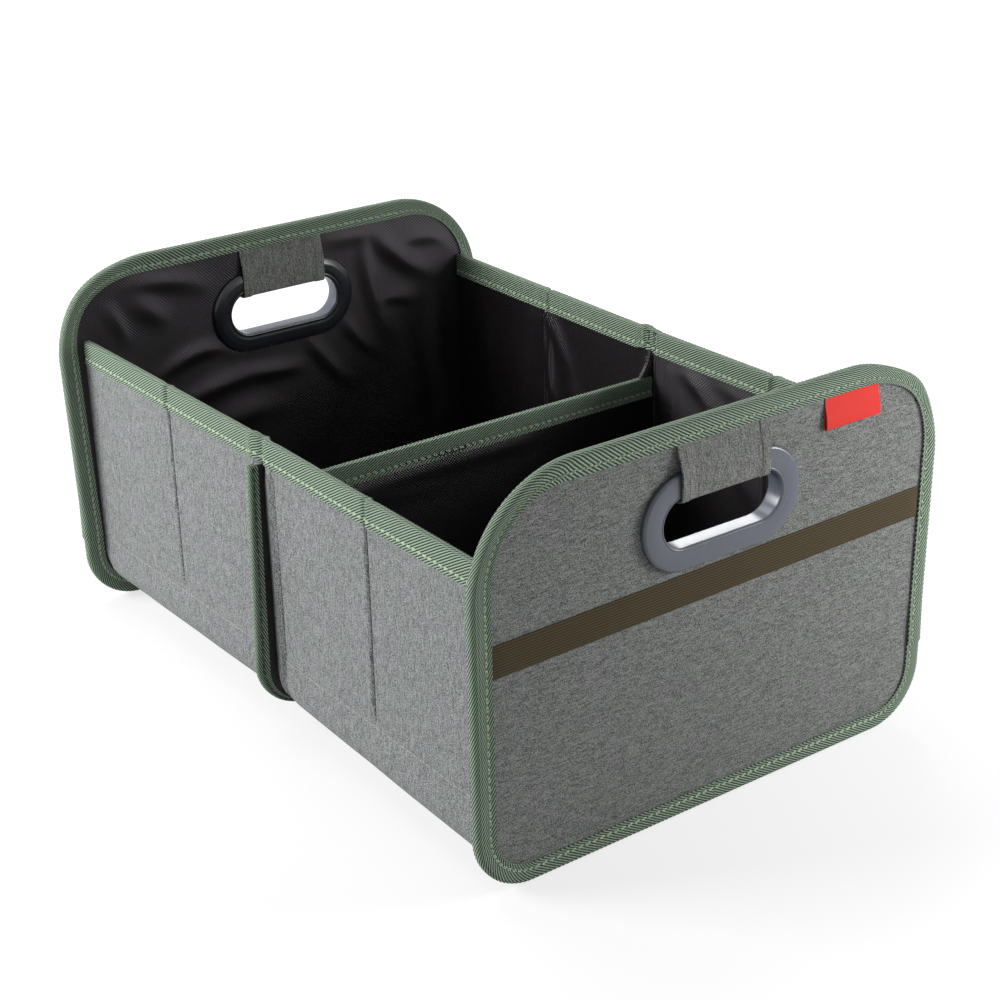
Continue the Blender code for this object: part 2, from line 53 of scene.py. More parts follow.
def soft_light(name, place, aim, size, watts):
    """A soft light at place, turned to the point aim."""
    lamp = bpy.data.lights.new(name, "AREA")
    lamp.shape = "RECTANGLE"
    lamp.size, lamp.size_y = size
    lamp.energy = watts
    light = bpy.data.objects.new(name, lamp)
    light.location = place
    light.rotation_euler = (Vector(aim) - Vector(place)).to_track_quat("-Z", "Y").to_euler()
    bpy.context.scene.collection.objects.link(light)


soft_light("left_softbox", (-1.50, 0.80, 0.95), (0.0, 0.0, 0.12), (0.9, 0.9), 38.5)
soft_light("overhead_softbox", (-0.2, 0.9, 1.7), (0.0, 0.1, 0.1), (0.9, 0.9), 9.0)
soft_light("right_front_softbox", (0.54, -0.58, 0.33), (0.12, -0.25, 0.13), (0.3, 0.3), 3.9)
soft_light("right_rear_softbox", (1.00, 0.85, 0.82), (0.0, -0.1, 0.15), (0.6, 0.4), 6.0)


def wire(tree, kind, inputs, output=0, **settings):
    """Adds a node, its inputs linked to a socket or given a value, and returns one output."""
    made = tree.nodes.new("ShaderNode" + kind)
    for setting, value in settings.items():
        setattr(made, setting, value)
    for place, value in inputs.items():
        if isinstance(value, bpy.types.NodeSocket):
            tree.links.new(value, made.inputs[place])
        else:
            made.inputs[place].default_value = value
    return made.outputs[output] if len(made.outputs) else None


def maths(tree, operation, *values):
    """The outcome of a sum on sockets and numbers."""
    return wire(tree, "Math", dict(enumerate(values)), operation=operation)


def stretched(tree, value, low, high, to_low=0.0, to_high=1.0):
    """The value carried from one range to another, and held at its ends."""
    return wire(tree, "MapRange", {0: value, 1: low, 2: high, 3: to_low, 4: to_high})


def seen_directly(tree):
    """1 for rays from the camera and for those in a mirror or through glass."""
    path = wire(tree, "LightPath", {}).node.outputs
    mirrored = maths(tree, "MAXIMUM", path["Is Camera Ray"], path["Is Glossy Ray"])
    return maths(tree, "MAXIMUM", mirrored, path["Is Transmission Ray"])


world = bpy.data.worlds.new("studio_white")
world.use_nodes = True
tree = world.node_tree
tree.nodes.clear()
white_wall = wire(tree, "Background", {"Color": (1.0, 1.0, 1.0, 1.0), "Strength": 1.0})
soft_fill = wire(tree, "Background", {"Color": (0.97, 0.98, 1.0, 1.0), "Strength": 0.22})
room = wire(tree, "MixShader", {0: seen_directly(tree), 1: soft_fill, 2: white_wall})
wire(tree, "OutputWorld", {"Surface": room})
bpy.context.scene.world = world
bpy.context.scene.view_settings.view_transform = "Standard"

paper = bpy.data.materials.new("white_paper")
paper.use_nodes = True
tree = paper.node_tree
tree.nodes.clear()
paper_lit = wire(tree, "BsdfDiffuse", {"Color": (0.62, 0.62, 0.63, 1.0)})
paper_shade = wire(tree, "BsdfDiffuse", {"Color": (0.30, 0.30, 0.30, 1.0)})
away = wire(tree, "VectorMath", {0: wire(tree, "TexCoord", {}, "Object")}, "Value", operation="LENGTH")
lift = stretched(tree, away, 0.40, 1.2, 0.71, 1.0)
paper_glow = wire(tree, "Emission", {"Color": (1.0, 1.0, 1.0, 1.0), "Strength": lift})
paper_seen = wire(tree, "AddShader", {0: paper_shade, 1: paper_glow})
paper_mix = wire(tree, "MixShader", {0: seen_directly(tree), 1: paper_lit, 2: paper_seen})
wire(tree, "OutputMaterial", {"Surface": paper_mix})

floor_mesh = bmesh.new()
bmesh.ops.create_grid(floor_mesh, x_segments=4, y_segments=4, size=6.0)
bmesh.ops.translate(floor_mesh, vec=(0.0, 0.0, -0.0003), verts=floor_mesh.verts)
studio_floor = bpy.data.objects.new("studio_floor", bpy.data.meshes.new("studio_floor"))
floor_mesh.to_mesh(studio_floor.data)
floor_mesh.free()
studio_floor.data.materials.append(paper)
bpy.context.scene.collection.objects.link(studio_floor)


# Boards. Stiff plastic sheets stand hidden in the end panels, the divider, the walls and the
# floors, slipped in before the cloth is sewn shut. They stay as the CAD nodes, with an extruded
# sheet's faint lines.
def new_finish(name, roughness, **settings):
    """A material with its shader's plain settings, its node tree and the shader to link to."""
    material = bpy.data.materials.new(name)
    material.use_nodes = True
    shader = material.node_tree.nodes["Principled BSDF"]
    shader.inputs["Roughness"].default_value = roughness
    for socket, value in settings.items():
        shader.inputs[socket.replace("_", " ")].default_value = value
    return material, material.node_tree, shader


def blend(tree, share, first, second):
    """The first colour where the share is 0, going to the second where it is 1."""
    return wire(tree, "Mix", {0: share, 6: (*first, 1.0), 7: (*second, 1.0)}, 2, data_type="RGBA")


def dress(tree, shader, colour, height=None, strength=0.0, depth=0.0, **settings):
    """Gives a shader its colour and, where there is a height, its bump."""
    tree.links.new(colour, shader.inputs["Base Color"])
    if height:
        bump = wire(tree, "Bump", {"Height": height, "Strength": strength, "Distance": depth}, **settings)
        tree.links.new(bump, shader.inputs["Normal"])


board_finish, tree, shader = new_finish("stiff_board_sheet", 0.6)
wave = {"Vector": wire(tree, "TexCoord", {}, "Object"), "Scale": 90.0, "Distortion": 0.6}
lines = wire(tree, "TexWave", wave, "Fac", bands_direction="Z")
dress(tree, shader, blend(tree, lines, (0.17, 0.17, 0.17), (0.22, 0.22, 0.22)))
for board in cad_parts:
    if board.endswith("_board"):
        board_mesh = bpy.data.objects[board].data
        for slot_place in range(len(board_mesh.materials)):
            board_mesh.materials[slot_place] = board_finish


# Panel covers. Heather grey polyester cloth lies over the outside of each end panel, cut to the
# panel's outline and round its hand hole. The edge tape and the handle ring hold it.
PANEL_MID_Y = 0.2462
PANEL_HALF_WIDTH = 0.180
PANEL_MID_Z = 0.130
PANEL_TOP_RADIUS = 0.074
PANEL_LOW_RADIUS = 0.040
PANEL_CLOTH = (0.354, 0.254)
COVER_FACE = 0.0026
CLOTH_THICKNESS = 0.0008
HOLE_Z = 0.199
HOLE_RADIUS = 0.016
HOLE_STRAIGHT = 0.060
YARN = 0.0003
MILLIMETRE = 0.001


def on_panel(end, x, out, z):
    """Point of an end panel, out from its middle plane. The rear one is the front one turned."""
    side = 1.0 if end == "front" else -1.0
    return Vector((side * x, -side * (PANEL_MID_Y + out), z))


def inside_panel(x, z):
    """Depth of a point inside the panel's outline."""
    radius = PANEL_TOP_RADIUS if z > PANEL_MID_Z else PANEL_LOW_RADIUS
    over_x = abs(x) - (PANEL_HALF_WIDTH - radius)
    over_z = abs(z - PANEL_MID_Z) - (PANEL_MID_Z - radius)
    return radius - math.hypot(max(over_x, 0.0), max(over_z, 0.0)) - min(max(over_x, over_z), 0.0)


def outside_hole(x, z):
    """Distance of a point from the hand hole's edge."""
    return math.hypot(max(abs(x) - HOLE_STRAIGHT / 2, 0.0), z - HOLE_Z) - HOLE_RADIUS


def on_board(point):
    """Whether the cloth of an end panel covers this point of it."""
    return inside_panel(point.x, point.z) > 0.004 and outside_hole(point.x, point.z) > 0.006


def evenly(low, high, step):
    """Places from low to high, about step apart."""
    count = round((high - low) / step)
    return [low + (high - low) * place / count for place in range(count + 1)]


def add_piece(name, bm, finish):
    """The finished mesh as an object at the origin, smooth but for its sharp edges."""
    bm.normal_update()
    for face in bm.faces:
        face.smooth = True
    for edge in bm.edges:
        edge.smooth = edge.calc_face_angle(0.0) < 0.9
    mesh = bpy.data.meshes.new(name)
    bm.to_mesh(mesh)
    bm.free()
    mesh.materials.append(finish)
    piece = bpy.data.objects.new(name, mesh)
    bpy.context.scene.collection.objects.link(piece)
    return piece


def woven_sheet(name, alongs, acrosses, lay, facing, thickness, finish, keep=None):
    """A sheet woven as a flat grid of threads at the places alongs and acrosses, in metres of
    cloth, laid by lay(along, across), then thickened away from the side that it faces. Places
    can be given as (length, step), and the facing as one direction or as a function of a point.
    Its UV map is in metres of cloth."""
    alongs, acrosses = [evenly(0.0, *way) if isinstance(way, tuple) else way for way in (alongs, acrosses)]
    outwards = facing if callable(facing) else lambda point: Vector(facing)
    bm = bmesh.new()
    metres = bm.loops.layers.uv.new("UVMap")
    bmesh.ops.create_grid(bm, x_segments=len(alongs) - 1, y_segments=len(acrosses) - 1, size=0.5)
    for vert in bm.verts:
        vert.co.x = alongs[round((vert.co.x + 0.5) * (len(alongs) - 1))]
        vert.co.y = acrosses[round((vert.co.y + 0.5) * (len(acrosses) - 1))]
    for face in bm.faces:
        for loop in face.loops:
            loop[metres].uv = loop.vert.co.xy
    for vert in bm.verts:
        vert.co = lay(vert.co.x, vert.co.y)
    if keep:
        spare = [face for face in bm.faces if not keep(face.calc_center_median())]
        bmesh.ops.delete(bm, geom=spare, context="FACES")
    bmesh.ops.remove_doubles(bm, verts=bm.verts, dist=0.00002)
    bm.normal_update()
    if sum(face.normal.dot(outwards(face.calc_center_median())) * face.calc_area() for face in bm.faces) < 0:
        bmesh.ops.reverse_faces(bm, faces=bm.faces)
    bmesh.ops.solidify(bm, geom=bm.faces[:], thickness=thickness)
    return add_piece(name, bm, finish)


def carry(piece, body, slot, *nodes):
    """The piece rides on a body and stands for the nodes, which it hides. The slot is not used."""
    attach(piece, body)
    if nodes:
        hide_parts(*nodes)


def new_group(name, inputs, outputs):
    """An empty node group, the sockets that it is given and the sockets of its outcome."""
    group = bpy.data.node_groups.new(name, "ShaderNodeTree")
    for sockets, side in ((inputs, "INPUT"), (outputs, "OUTPUT")):
        for socket, kind in sockets.items():
            group.interface.new_socket(socket, in_out=side, socket_type="NodeSocket" + kind)
    return group, group.nodes.new("NodeGroupInput").outputs, group.nodes.new("NodeGroupOutput").inputs


yarn, given, result = new_group(
    "heather_yarn",
    {"Cloth": "Vector", "Thread": "Float", "Run": "Float"},
    {"Light Yarn": "Float", "Tint": "Float"},
)
cloth_axes = wire(yarn, "SeparateXYZ", {0: given["Cloth"]}).node.outputs
threads = []
YARN_LAYERS = ((0, 1, 0.0, 1.0, 1.0), (1, 0, 40.0, 1.0, 0.8), (0, 1, 80.0, 1.4, 11.0))
for course, crossing, offset, thick, length in YARN_LAYERS:
    ply = maths(yarn, "MULTIPLY", given["Thread"], thick)
    slub = maths(yarn, "MULTIPLY", given["Run"], length)
    whole = maths(yarn, "FLOOR", maths(yarn, "DIVIDE", cloth_axes[crossing], ply))
    apart = maths(yarn, "MULTIPLY_ADD", whole, 7.31, offset)
    thread = wire(yarn, "CombineXYZ", {0: maths(yarn, "DIVIDE", cloth_axes[course], slub), 1: apart})
    threads.append(wire(yarn, "TexNoise", {"Vector": thread, "Scale": 1.0, "Detail": 1.0, "Roughness": 0.4}))
both = wire(yarn, "Mix", {0: 0.38, 2: threads[0], 3: threads[1]})
grouped = wire(yarn, "Mix", {0: 0.20, 2: both, 3: threads[2]})
yarn.links.new(stretched(yarn, grouped, 0.43, 0.575), result["Light Yarn"])
tint = wire(yarn, "TexNoise", {"Vector": given["Cloth"], "Scale": 28.0, "Detail": 3.0, "Roughness": 0.6})
yarn.links.new(tint, result["Tint"])

rows, given, result = new_group(
    "thread_rows", {"Cloth": "Vector", "Rows": "Vector", "Wander": "Float"}, {"Height": "Float"}
)
wander = wire(rows, "TexNoise", {"Vector": given["Cloth"], "Scale": 260.0, "Detail": 1.0})
count = wire(rows, "VectorMath", {0: given["Cloth"], 1: given["Rows"]}, "Value", operation="DOT_PRODUCT")
turns = maths(rows, "MULTIPLY_ADD", count, math.pi, maths(rows, "MULTIPLY", wander, given["Wander"]))
rows.links.new(maths(rows, "ABSOLUTE", maths(rows, "SINE", turns)), result["Height"])


def thread_rows(tree, along, across, wander):
    """The height of rows of thread, with so many in a metre along and across the cloth."""
    cloth = wire(tree, "UVMap", {}, uv_map="UVMap")
    given = {"Cloth": cloth, "Rows": (along, across, 0.0), "Wander": wander}
    return wire(tree, "Group", given, node_tree=rows)


def heather_cloth(name, dark, light):
    """Grey cloth of mixed light and dark yarn, with its weave as bump."""
    finish, tree, shader = new_finish(
        name, 0.86, Specular_IOR_Level=0.3, Sheen_Weight=0.10, Sheen_Roughness=0.5
    )
    cloth = wire(tree, "UVMap", {}, uv_map="UVMap")
    given = {"Cloth": cloth, "Thread": YARN, "Run": 0.00065}
    mixed = wire(tree, "Group", given, "Light Yarn", node_tree=yarn)
    shade = blend(tree, mixed, dark, light)
    tinted = blend(tree, mixed.node.outputs["Tint"], (1.06, 0.97, 1.06), (0.94, 1.03, 0.94))
    colour = wire(tree, "Mix", {0: 1.0, 6: shade, 7: tinted}, 2, data_type="RGBA", blend_type="MULTIPLY")
    warp = thread_rows(tree, 1.0 / YARN, 0.0, 0.8)
    weave = maths(tree, "ADD", warp, thread_rows(tree, 0.0, 1.0 / YARN, 0.8))
    dress(tree, shader, colour, maths(tree, "MULTIPLY_ADD", mixed, 0.25, weave), 0.4, 0.0003)
    return finish


panel_cloth = heather_cloth("heather_grey_panel_cloth", (0.022, 0.024, 0.023), (0.365, 0.38, 0.36))


def cover_stand(end, x, z):
    """How far a panel's cover lies out from the panel's middle plane."""
    return COVER_FACE + 0.25 * MILLIMETRE * (noise.noise(Vector((x * 14.0, z * 14.0, 0.0))) + 0.5)


def add_panel_cloth(end, word, stand, out, step, cloth):
    """A cloth of an end panel, out from its middle plane by stand, and facing out or in."""
    def lay(along, across):
        x, z = along - PANEL_CLOTH[0] / 2, 0.003 + across
        return on_panel(end, x, out * stand(end, x, z), z)

    alongs, acrosses = [(length, step) for length in PANEL_CLOTH]
    facing = out * on_panel(end, 0.0, 0.0, 0.0)
    return woven_sheet(f"{end}_{word}", alongs, acrosses, lay, facing, CLOTH_THICKNESS, cloth, on_board)


for end in ("front", "rear"):
    cover = add_panel_cloth(end, "grey_cover", cover_stand, 1.0, 0.004, panel_cloth)
    carry(cover, "root", "grey_cloth", f"{end}_panel_cover")


# Panel linings. Black twill with a satin face lies over the inside of each end panel. It is only
# held at its edge, so it stands off the board in broad soft wrinkles that catch the light.
lining_cloth, tree, shader = new_finish(
    "black_satin_twill", 0.40, Specular_IOR_Level=0.43, Specular_Tint=(1.0, 0.93, 1.0, 1.0)
)
twill = thread_rows(tree, 500.0, 500.0, 0.5)
weave = maths(tree, "MULTIPLY_ADD", thread_rows(tree, 400.0, -400.0, 0.6), 0.6, twill)
shade = stretched(tree, weave, 0.0, 1.6)
colour = blend(tree, shade, (0.0002, 0.0002, 0.0002), (0.009, 0.0075, 0.0085))
dress(tree, shader, colour, weave, 0.7, 0.0003)
tree.links.new(stretched(tree, weave, 0.0, 1.6, 0.62, 0.24), shader.inputs["Roughness"])


def clamped(value):
    """The value, held between 0 and 1."""
    return min(1.0, max(0.0, value))


def hump(value, middle, width):
    """1 at the middle, falling softly to 0 on both sides."""
    return math.exp(-(((value - middle) / width) ** 2))


def fold_height(x, z, folds):
    """Height of soft folds, each from one point to another: (x, z, x, z, width, height, bow)."""
    total = 0.0
    for start_x, start_z, end_x, end_z, width, height, bow in folds:
        run = Vector((end_x - start_x, end_z - start_z))
        share = Vector((x - start_x, z - start_z)).dot(run) / run.length_squared
        if -0.25 < share < 1.25:
            aside = (Vector((x - start_x, z - start_z)).cross(run)) / run.length
            middle = bow * 4.0 * share * (1.0 - share)
            taper = max(0.0, math.sin(math.pi * (share + 0.25) / 1.5)) ** 1.5
            total += height * taper * hump(aside, middle, width)
    return total


# Places on the panel as seen from outside it, in metres. Heights are in millimetres.
PANEL_FOLDS = {
    "front": (
        (0.150, 0.200, 0.060, 0.180, 0.008, 2.0, -0.010),
        (0.140, 0.080, 0.040, 0.165, 0.008, 2.2, 0.010),
        (0.000, 0.165, 0.010, 0.050, 0.008, 2.0, 0.010),
        (-0.040, 0.165, -0.120, 0.060, 0.008, 2.2, 0.010),
        (-0.060, 0.210, -0.150, 0.190, 0.007, 1.8, 0.008),
        (-0.150, 0.120, -0.090, 0.090, 0.009, 1.8, 0.010),
        (0.130, 0.235, 0.070, 0.225, 0.006, 1.6, 0.004),
        (-0.080, 0.235, -0.130, 0.205, 0.006, 1.8, -0.004),
    ),
    "rear": (
        (0.140, 0.242, 0.069, 0.229, 0.0070, 2.0, 0.004),
        (0.150, 0.232, 0.133, 0.200, 0.0045, 1.5, 0.002),
        (0.125, 0.228, 0.100, 0.208, 0.0075, 1.8, 0.000),
        (0.112, 0.162, 0.044, 0.176, 0.0055, 2.4, 0.008),
        (0.048, 0.172, 0.000, 0.175, 0.0050, 1.8, -0.002),
        (0.095, 0.138, 0.020, 0.150, 0.0065, 2.4, 0.004),
        (0.030, 0.150, -0.010, 0.147, 0.0060, 2.0, 0.000),
        (0.080, 0.110, 0.010, 0.120, 0.0090, 1.6, 0.004),
        (-0.073, 0.236, -0.090, 0.160, 0.0055, 2.0, -0.003),
        (-0.018, 0.176, -0.052, 0.126, 0.0050, 2.0, -0.003),
        (-0.048, 0.186, -0.078, 0.144, 0.0045, 1.6, -0.003),
        (-0.084, 0.238, -0.136, 0.197, 0.0075, 2.6, -0.004),
        (-0.044, 0.242, -0.088, 0.245, 0.0055, 1.8, -0.002),
        (-0.088, 0.184, -0.118, 0.179, 0.0050, 1.5, 0.002),
        (-0.106, 0.226, -0.155, 0.221, 0.0060, 1.6, 0.004),
        (-0.100, 0.160, -0.120, 0.070, 0.0100, 1.8, 0.006),
        (-0.140, 0.180, -0.150, 0.080, 0.0090, 1.6, -0.004),
        (0.150, 0.185, 0.125, 0.150, 0.0070, 1.4, 0.003),
    ),
}


def lining_stand(end, x, z):
    """How far a panel's lining lies in from the panel's middle plane."""
    loose = 0.9 * noise.noise(Vector((x * 26.0, z * 22.0, 3.0))) + 0.3
    loose += 1.6 * fold_height(x, z, PANEL_FOLDS[end])
    edge = clamped((inside_panel(x, z) - 0.010) / 0.014)
    ring = clamped((outside_hole(x, z) - 0.012) / 0.014)
    return COVER_FACE + MILLIMETRE * max(0.0, loose) * edge * ring


for end in ("front", "rear"):
    lining = add_panel_cloth(end, "black_lining", lining_stand, -1.0, 0.003, lining_cloth)
    carry(lining, "root", "black_lining", f"{end}_panel_lining")


# Edge tapes. Green ribbed tape about 31 mm wide is folded round each end panel's edge, all the way
# round, and chain stitched through. Its ribs stand out most on the fold.
TAPE = 0.0009
RIB_PITCH = 0.0032
RIB_LEAN = 0.00185
STITCH_TO_EDGE = 0.0038
STITCH_PITCH = 0.0054
TAPE_STEP = 0.0008


def rib_tape(name, lean):
    """Green tape whose ribs cross it at a lean: its own pale green on their crests, and painted shade between
    them that goes near black in the valleys.
    """
    finish, tree, shader = new_finish(
        name, 0.75, Specular_IOR_Level=0.35, Sheen_Weight=0.06, Sheen_Roughness=0.45
    )
    rib_height = maths(tree, "POWER", thread_rows(tree, 1.0 / RIB_PITCH, lean / RIB_LEAN, 0.15), 1.5)
    weave = maths(tree, "MULTIPLY_ADD", thread_rows(tree, 1500.0, -lean * 900.0, 0.6), 0.18, rib_height)
    cloth = wire(tree, "UVMap", {}, uv_map="UVMap")
    fine = wire(tree, "TexNoise", {"Vector": cloth, "Scale": 900.0, "Detail": 2.0})
    # Painted shade: the colour runs from the tape's green on the rib crests to near black in the rib valleys,
    # with a little noise of the yarn's own tone.
    shade = stretched(tree, maths(tree, "MULTIPLY_ADD", fine, 0.3, weave), 0.55, 1.10)
    dress(tree, shader, blend(tree, shade, (0.002, 0.004, 0.002), (0.33, 0.45, 0.325)), weave, 0.8, 0.0007)
    return finish


right_leaning_tape = rib_tape("green_rib_tape_leaning_right", 1.0)
left_leaning_tape = rib_tape("green_rib_tape_leaning_left", -1.0)


def object_noise(tree, scale, detail):
    """Soft noise in the piece's own space."""
    place = wire(tree, "TexCoord", {}, "Object")
    return wire(tree, "TexNoise", {"Vector": place, "Scale": scale, "Detail": detail})


def sewing_thread(name, roughness, sheen, scale, dark, light, twist=0.0):
    """A sewing thread's uneven colour, with the bump of its twist where it is thick."""
    finish, tree, shader = new_finish(name, roughness, Sheen_Weight=sheen)
    fuzz = object_noise(tree, scale, 1.0)
    dress(tree, shader, blend(tree, fuzz, dark, light), fuzz if twist else None, twist, 0.0002)
    return finish


pale_thread = sewing_thread(
    "pale_green_thread", 0.6, 0.3, 1500.0, (0.38, 0.48, 0.33), (0.70, 0.80, 0.60), twist=0.4
)


def resample(outer, inner, step=TAPE_STEP):
    """Pairs of points (edge, inner edge), spaced evenly along the edge, and the edge's length."""
    pairs = []
    lengths = [(b - a).length for a, b in zip(outer, outer[1:])]
    total = sum(lengths)
    count = round(total / step)
    gap = total / count
    walked, place = 0.0, 0
    for station in range(count + 1):
        target = min(station * gap, total - 1e-9)
        while walked + lengths[place] < target and place < len(lengths) - 1:
            walked += lengths[place]
            place += 1
        share = (target - walked) / lengths[place]
        pairs.append([side[place].lerp(side[place + 1], share) for side in (outer, inner)])
    return pairs, total


def quarter(centre_x, centre_z, radius, start, steps=40):
    """Points of a quarter circle in the panel's plane, anticlockwise from the angle start."""
    turn = [math.radians(start + 90.0 * step / steps) for step in range(steps + 1)]
    return [Vector((centre_x + radius * math.cos(a), 0.0, centre_z + radius * math.sin(a))) for a in turn]


class FoldedTape:
    """A tape folded over an edge: pairs of points along it and its length, the side that its
    outer half is on, the width of each half, half its thickness there, its fold's radius, the
    lean of its ribs, how far it is lifted off and how far the stitches press it in."""

    def __init__(self, route, side, width, half, rounding, lean, lift=None, press=0.65):
        self.pairs, self.length = route
        self.side = Vector(side)
        self.width = width
        self.half = half
        self.rounding = rounding
        self.lean = lean
        self.lift = lift
        self.press = press
        self.reach = (half - rounding) + math.pi / 2 * rounding + (width - rounding)
        self.ribs = round(self.length / RIB_PITCH)

    def section(self, across):
        """Depth, offset and outward direction of the section, across from the fold's middle."""
        side = 1.0 if across >= 0 else -1.0
        run = abs(across)
        flat = self.half - self.rounding
        if run < flat:
            return 0.0, side * run, 1.0, 0.0
        turn = (run - flat) / self.rounding
        if turn < math.pi / 2:
            sine, cosine = math.sin(turn), math.cos(turn)
            return self.rounding * (1.0 - cosine), side * (flat + self.rounding * sine), cosine, side * sine
        return self.rounding + run - flat - math.pi / 2 * self.rounding, side * self.half, 0.0, side

    def spot(self, along, across, lift=0.0):
        """Point on the tape: along its edge, across from its fold, lifted off its face."""
        place = along / self.length * (len(self.pairs) - 1)
        first = min(int(place), len(self.pairs) - 2)
        share = place - first
        two_pairs = zip(self.pairs[first], self.pairs[first + 1])
        edge, inner = [here.lerp(there, share) for here, there in two_pairs]
        depth, offset, out, aside = self.section(across)
        from_edge = self.reach - abs(across)
        lift -= self.press * MILLIMETRE * hump(from_edge, STITCH_TO_EDGE, 0.0013)
        lift += 0.45 * MILLIMETRE * hump(from_edge, 0.0, 0.0013)
        if self.lift:
            lift += self.lift(along)
        into = inner - edge
        sunk = edge + into * (depth / self.width) - into.normalized() * (lift * out)
        return sunk + self.side * (offset + lift * aside)

    def rib(self, along, across):
        """Depth of the valleys between the ribs, deepest over the fold."""
        turns = self.ribs * along / self.length + self.lean * across / RIB_LEAN
        fade = min(1.0, max(0.25, (self.reach - abs(across) - 0.004) / 0.006))
        return -0.5 * MILLIMETRE * fade * (1.0 - abs(math.sin(math.pi * turns)) ** 0.7)

    def sheet(self, name, finish):
        """The tape as one woven sheet with its ribs."""
        shares = (0.0, 0.14, 0.27, 0.40, 0.53, 0.66, 0.76, 0.84, 0.92, 1.0)
        columns = [self.reach * share for share in shares]
        acrosses = [-column for column in reversed(columns[1:])] + columns
        alongs = (self.length, self.length / (len(self.pairs) - 1))
        middle = self.pairs[0][0]

        def lay(along, across):
            return self.spot(along, across, self.rib(along, across))

        def facing(point):
            return self.side * (point - middle).dot(self.side)

        return woven_sheet(name, alongs, acrosses, lay, facing, TAPE, finish)


def sew(name, bm, count, pitch, spot, thread, slot):
    """A row of copies of the one stitch in bm, laid by spot(along, beside, above)."""
    first = bm.verts[:] + bm.edges[:] + bm.faces[:]
    for place in range(1, count):
        copied = bmesh.ops.duplicate(bm, geom=first)["geom"]
        copied = [item for item in copied if isinstance(item, bmesh.types.BMVert)]
        bmesh.ops.translate(bm, verts=copied, vec=(place * pitch, 0.0, 0.0))
    for vert in bm.verts:
        vert.co = spot(*vert.co)
    carry(add_piece(name, bm, thread), "root", slot)


def chain_stitches(name, tape, side, thread):
    """A row of linked loops along one side of a tape, each made as a ring and drawn out."""
    count = round(tape.length / STITCH_PITCH)
    pitch = tape.length / count
    origin = (0.0, 0.0, 0.0)
    bm = bmesh.new()
    ring = bmesh.ops.create_circle(bm, segments=4, radius=0.00040, cap_ends=False)["verts"]
    bmesh.ops.rotate(bm, verts=ring, cent=origin, matrix=Matrix.Rotation(math.pi / 2, 3, "X"))
    bmesh.ops.translate(bm, verts=ring, vec=(0.0010, 0.0, 0.0))
    bmesh.ops.spin(bm, geom=bm.verts[:] + bm.edges[:], cent=origin, axis=(0.0, 0.0, 1.0), dvec=origin,
                   angle=2.0 * math.pi, steps=7, use_merge=True, use_duplicate=False)
    bmesh.ops.remove_doubles(bm, verts=bm.verts, dist=0.00001)
    bmesh.ops.recalc_face_normals(bm, faces=bm.faces)
    for vert in bm.verts:
        vert.co.x *= (pitch * 0.37) / 0.0013
        vert.co.y = vert.co.y * 0.62 + 0.16 * vert.co.x
        vert.co.z += 0.0003 - 0.00025 * vert.co.x / pitch
    bmesh.ops.translate(bm, verts=bm.verts, vec=(pitch / 2, 0.0, 0.0))
    across = side * (tape.reach - STITCH_TO_EDGE)

    def spot(along, beside, above):
        return tape.spot(along, across + beside * side, above)

    sew(name, bm, count, pitch, spot, thread, "green_tape")


def bind(name, node, tape, finish, sides, thread):
    """A folded tape as a piece, with a row of chain stitches on each of its two sides."""
    binding = tape.sheet(name, finish)
    carry(binding, "root", "green_tape", node)
    chain_stitches(f"{name}_{sides[0]}_stitches", tape, 1.0, thread)
    chain_stitches(f"{name}_{sides[1]}_stitches", tape, -1.0, thread)


def flared(point, end):
    """The board presses the tape outwards at one top corner of a panel, more at the rear one."""
    if point.x < 0.0:
        return point
    wide, aside, up = (1.0, 0.0030, 0.0034) if end == "front" else (1.6, 0.0044, 0.0044)
    corner = hump(point.x, 0.164, 0.022 * wide) * hump(point.z, 0.238, 0.024 * wide)
    side = hump(point.z, 0.196, 0.040) * clamped((point.x - 0.12) / 0.04)
    return point + Vector((aside * corner + 0.0034 * side, 0.0, up * corner))


def panel_rim(end):
    """Pairs of points all round an end panel, from the middle of its foot, and their length."""
    sides = []
    edge, inner = (0.0, 0.040, 0.106, 0.186, 0.074), (0.013, 0.027, 0.115, 0.195, 0.052)
    for foot_z, low, top_x, top_z, top in (edge, inner):
        foot = [Vector((0.0, 0.0, foot_z))]
        side = foot + quarter(0.140, 0.040, low, -90) + quarter(top_x, top_z, top, 0)
        side += quarter(-top_x, top_z, top, 90) + quarter(-0.140, 0.040, low, 180) + foot
        side = [flared(point, end) for point in side]
        sides.append([on_panel(end, point.x, 0.0, point.z) for point in side])
    return resample(*sides)


def tape_end_lap(along):
    """The tape's upper end lies over its lower end, low on one side."""
    past = along - 0.216
    return 0.0009 * max(0.0, 1.0 - past / 0.030) if past >= 0.0 else 0.0


for end, side in (("front", -1.0), ("rear", 1.0)):
    edge_tape = FoldedTape(panel_rim(end), (0.0, side, 0.0), width=0.013, half=0.0038, rounding=0.0026,
                           lean=1.0, lift=tape_end_lap)
    bind(f"{end}_edge_tape", f"{end}_panel_binding", edge_tape, right_leaning_tape,
         ("outer", "inner"), pale_thread)


# Handle rings. Two satin plastic rings, blue-grey outside and black inside, clamp the panel round
# its hand hole. The outer one has a collar that lines the hole, and the inner one snaps over it.
def satin_plastic(name, dark, light):
    """Moulded plastic with a faintly uneven satin skin."""
    finish, tree, shader = new_finish(name, 0.3, Specular_IOR_Level=0.5)
    cloudy = object_noise(tree, 60.0, 3.0)
    dress(tree, shader, blend(tree, cloudy, dark, light), object_noise(tree, 1600.0, 1.0), 0.12, 0.0002)
    tree.links.new(stretched(tree, cloudy, 0.0, 1.0, 0.20, 0.32), shader.inputs["Roughness"])
    return finish


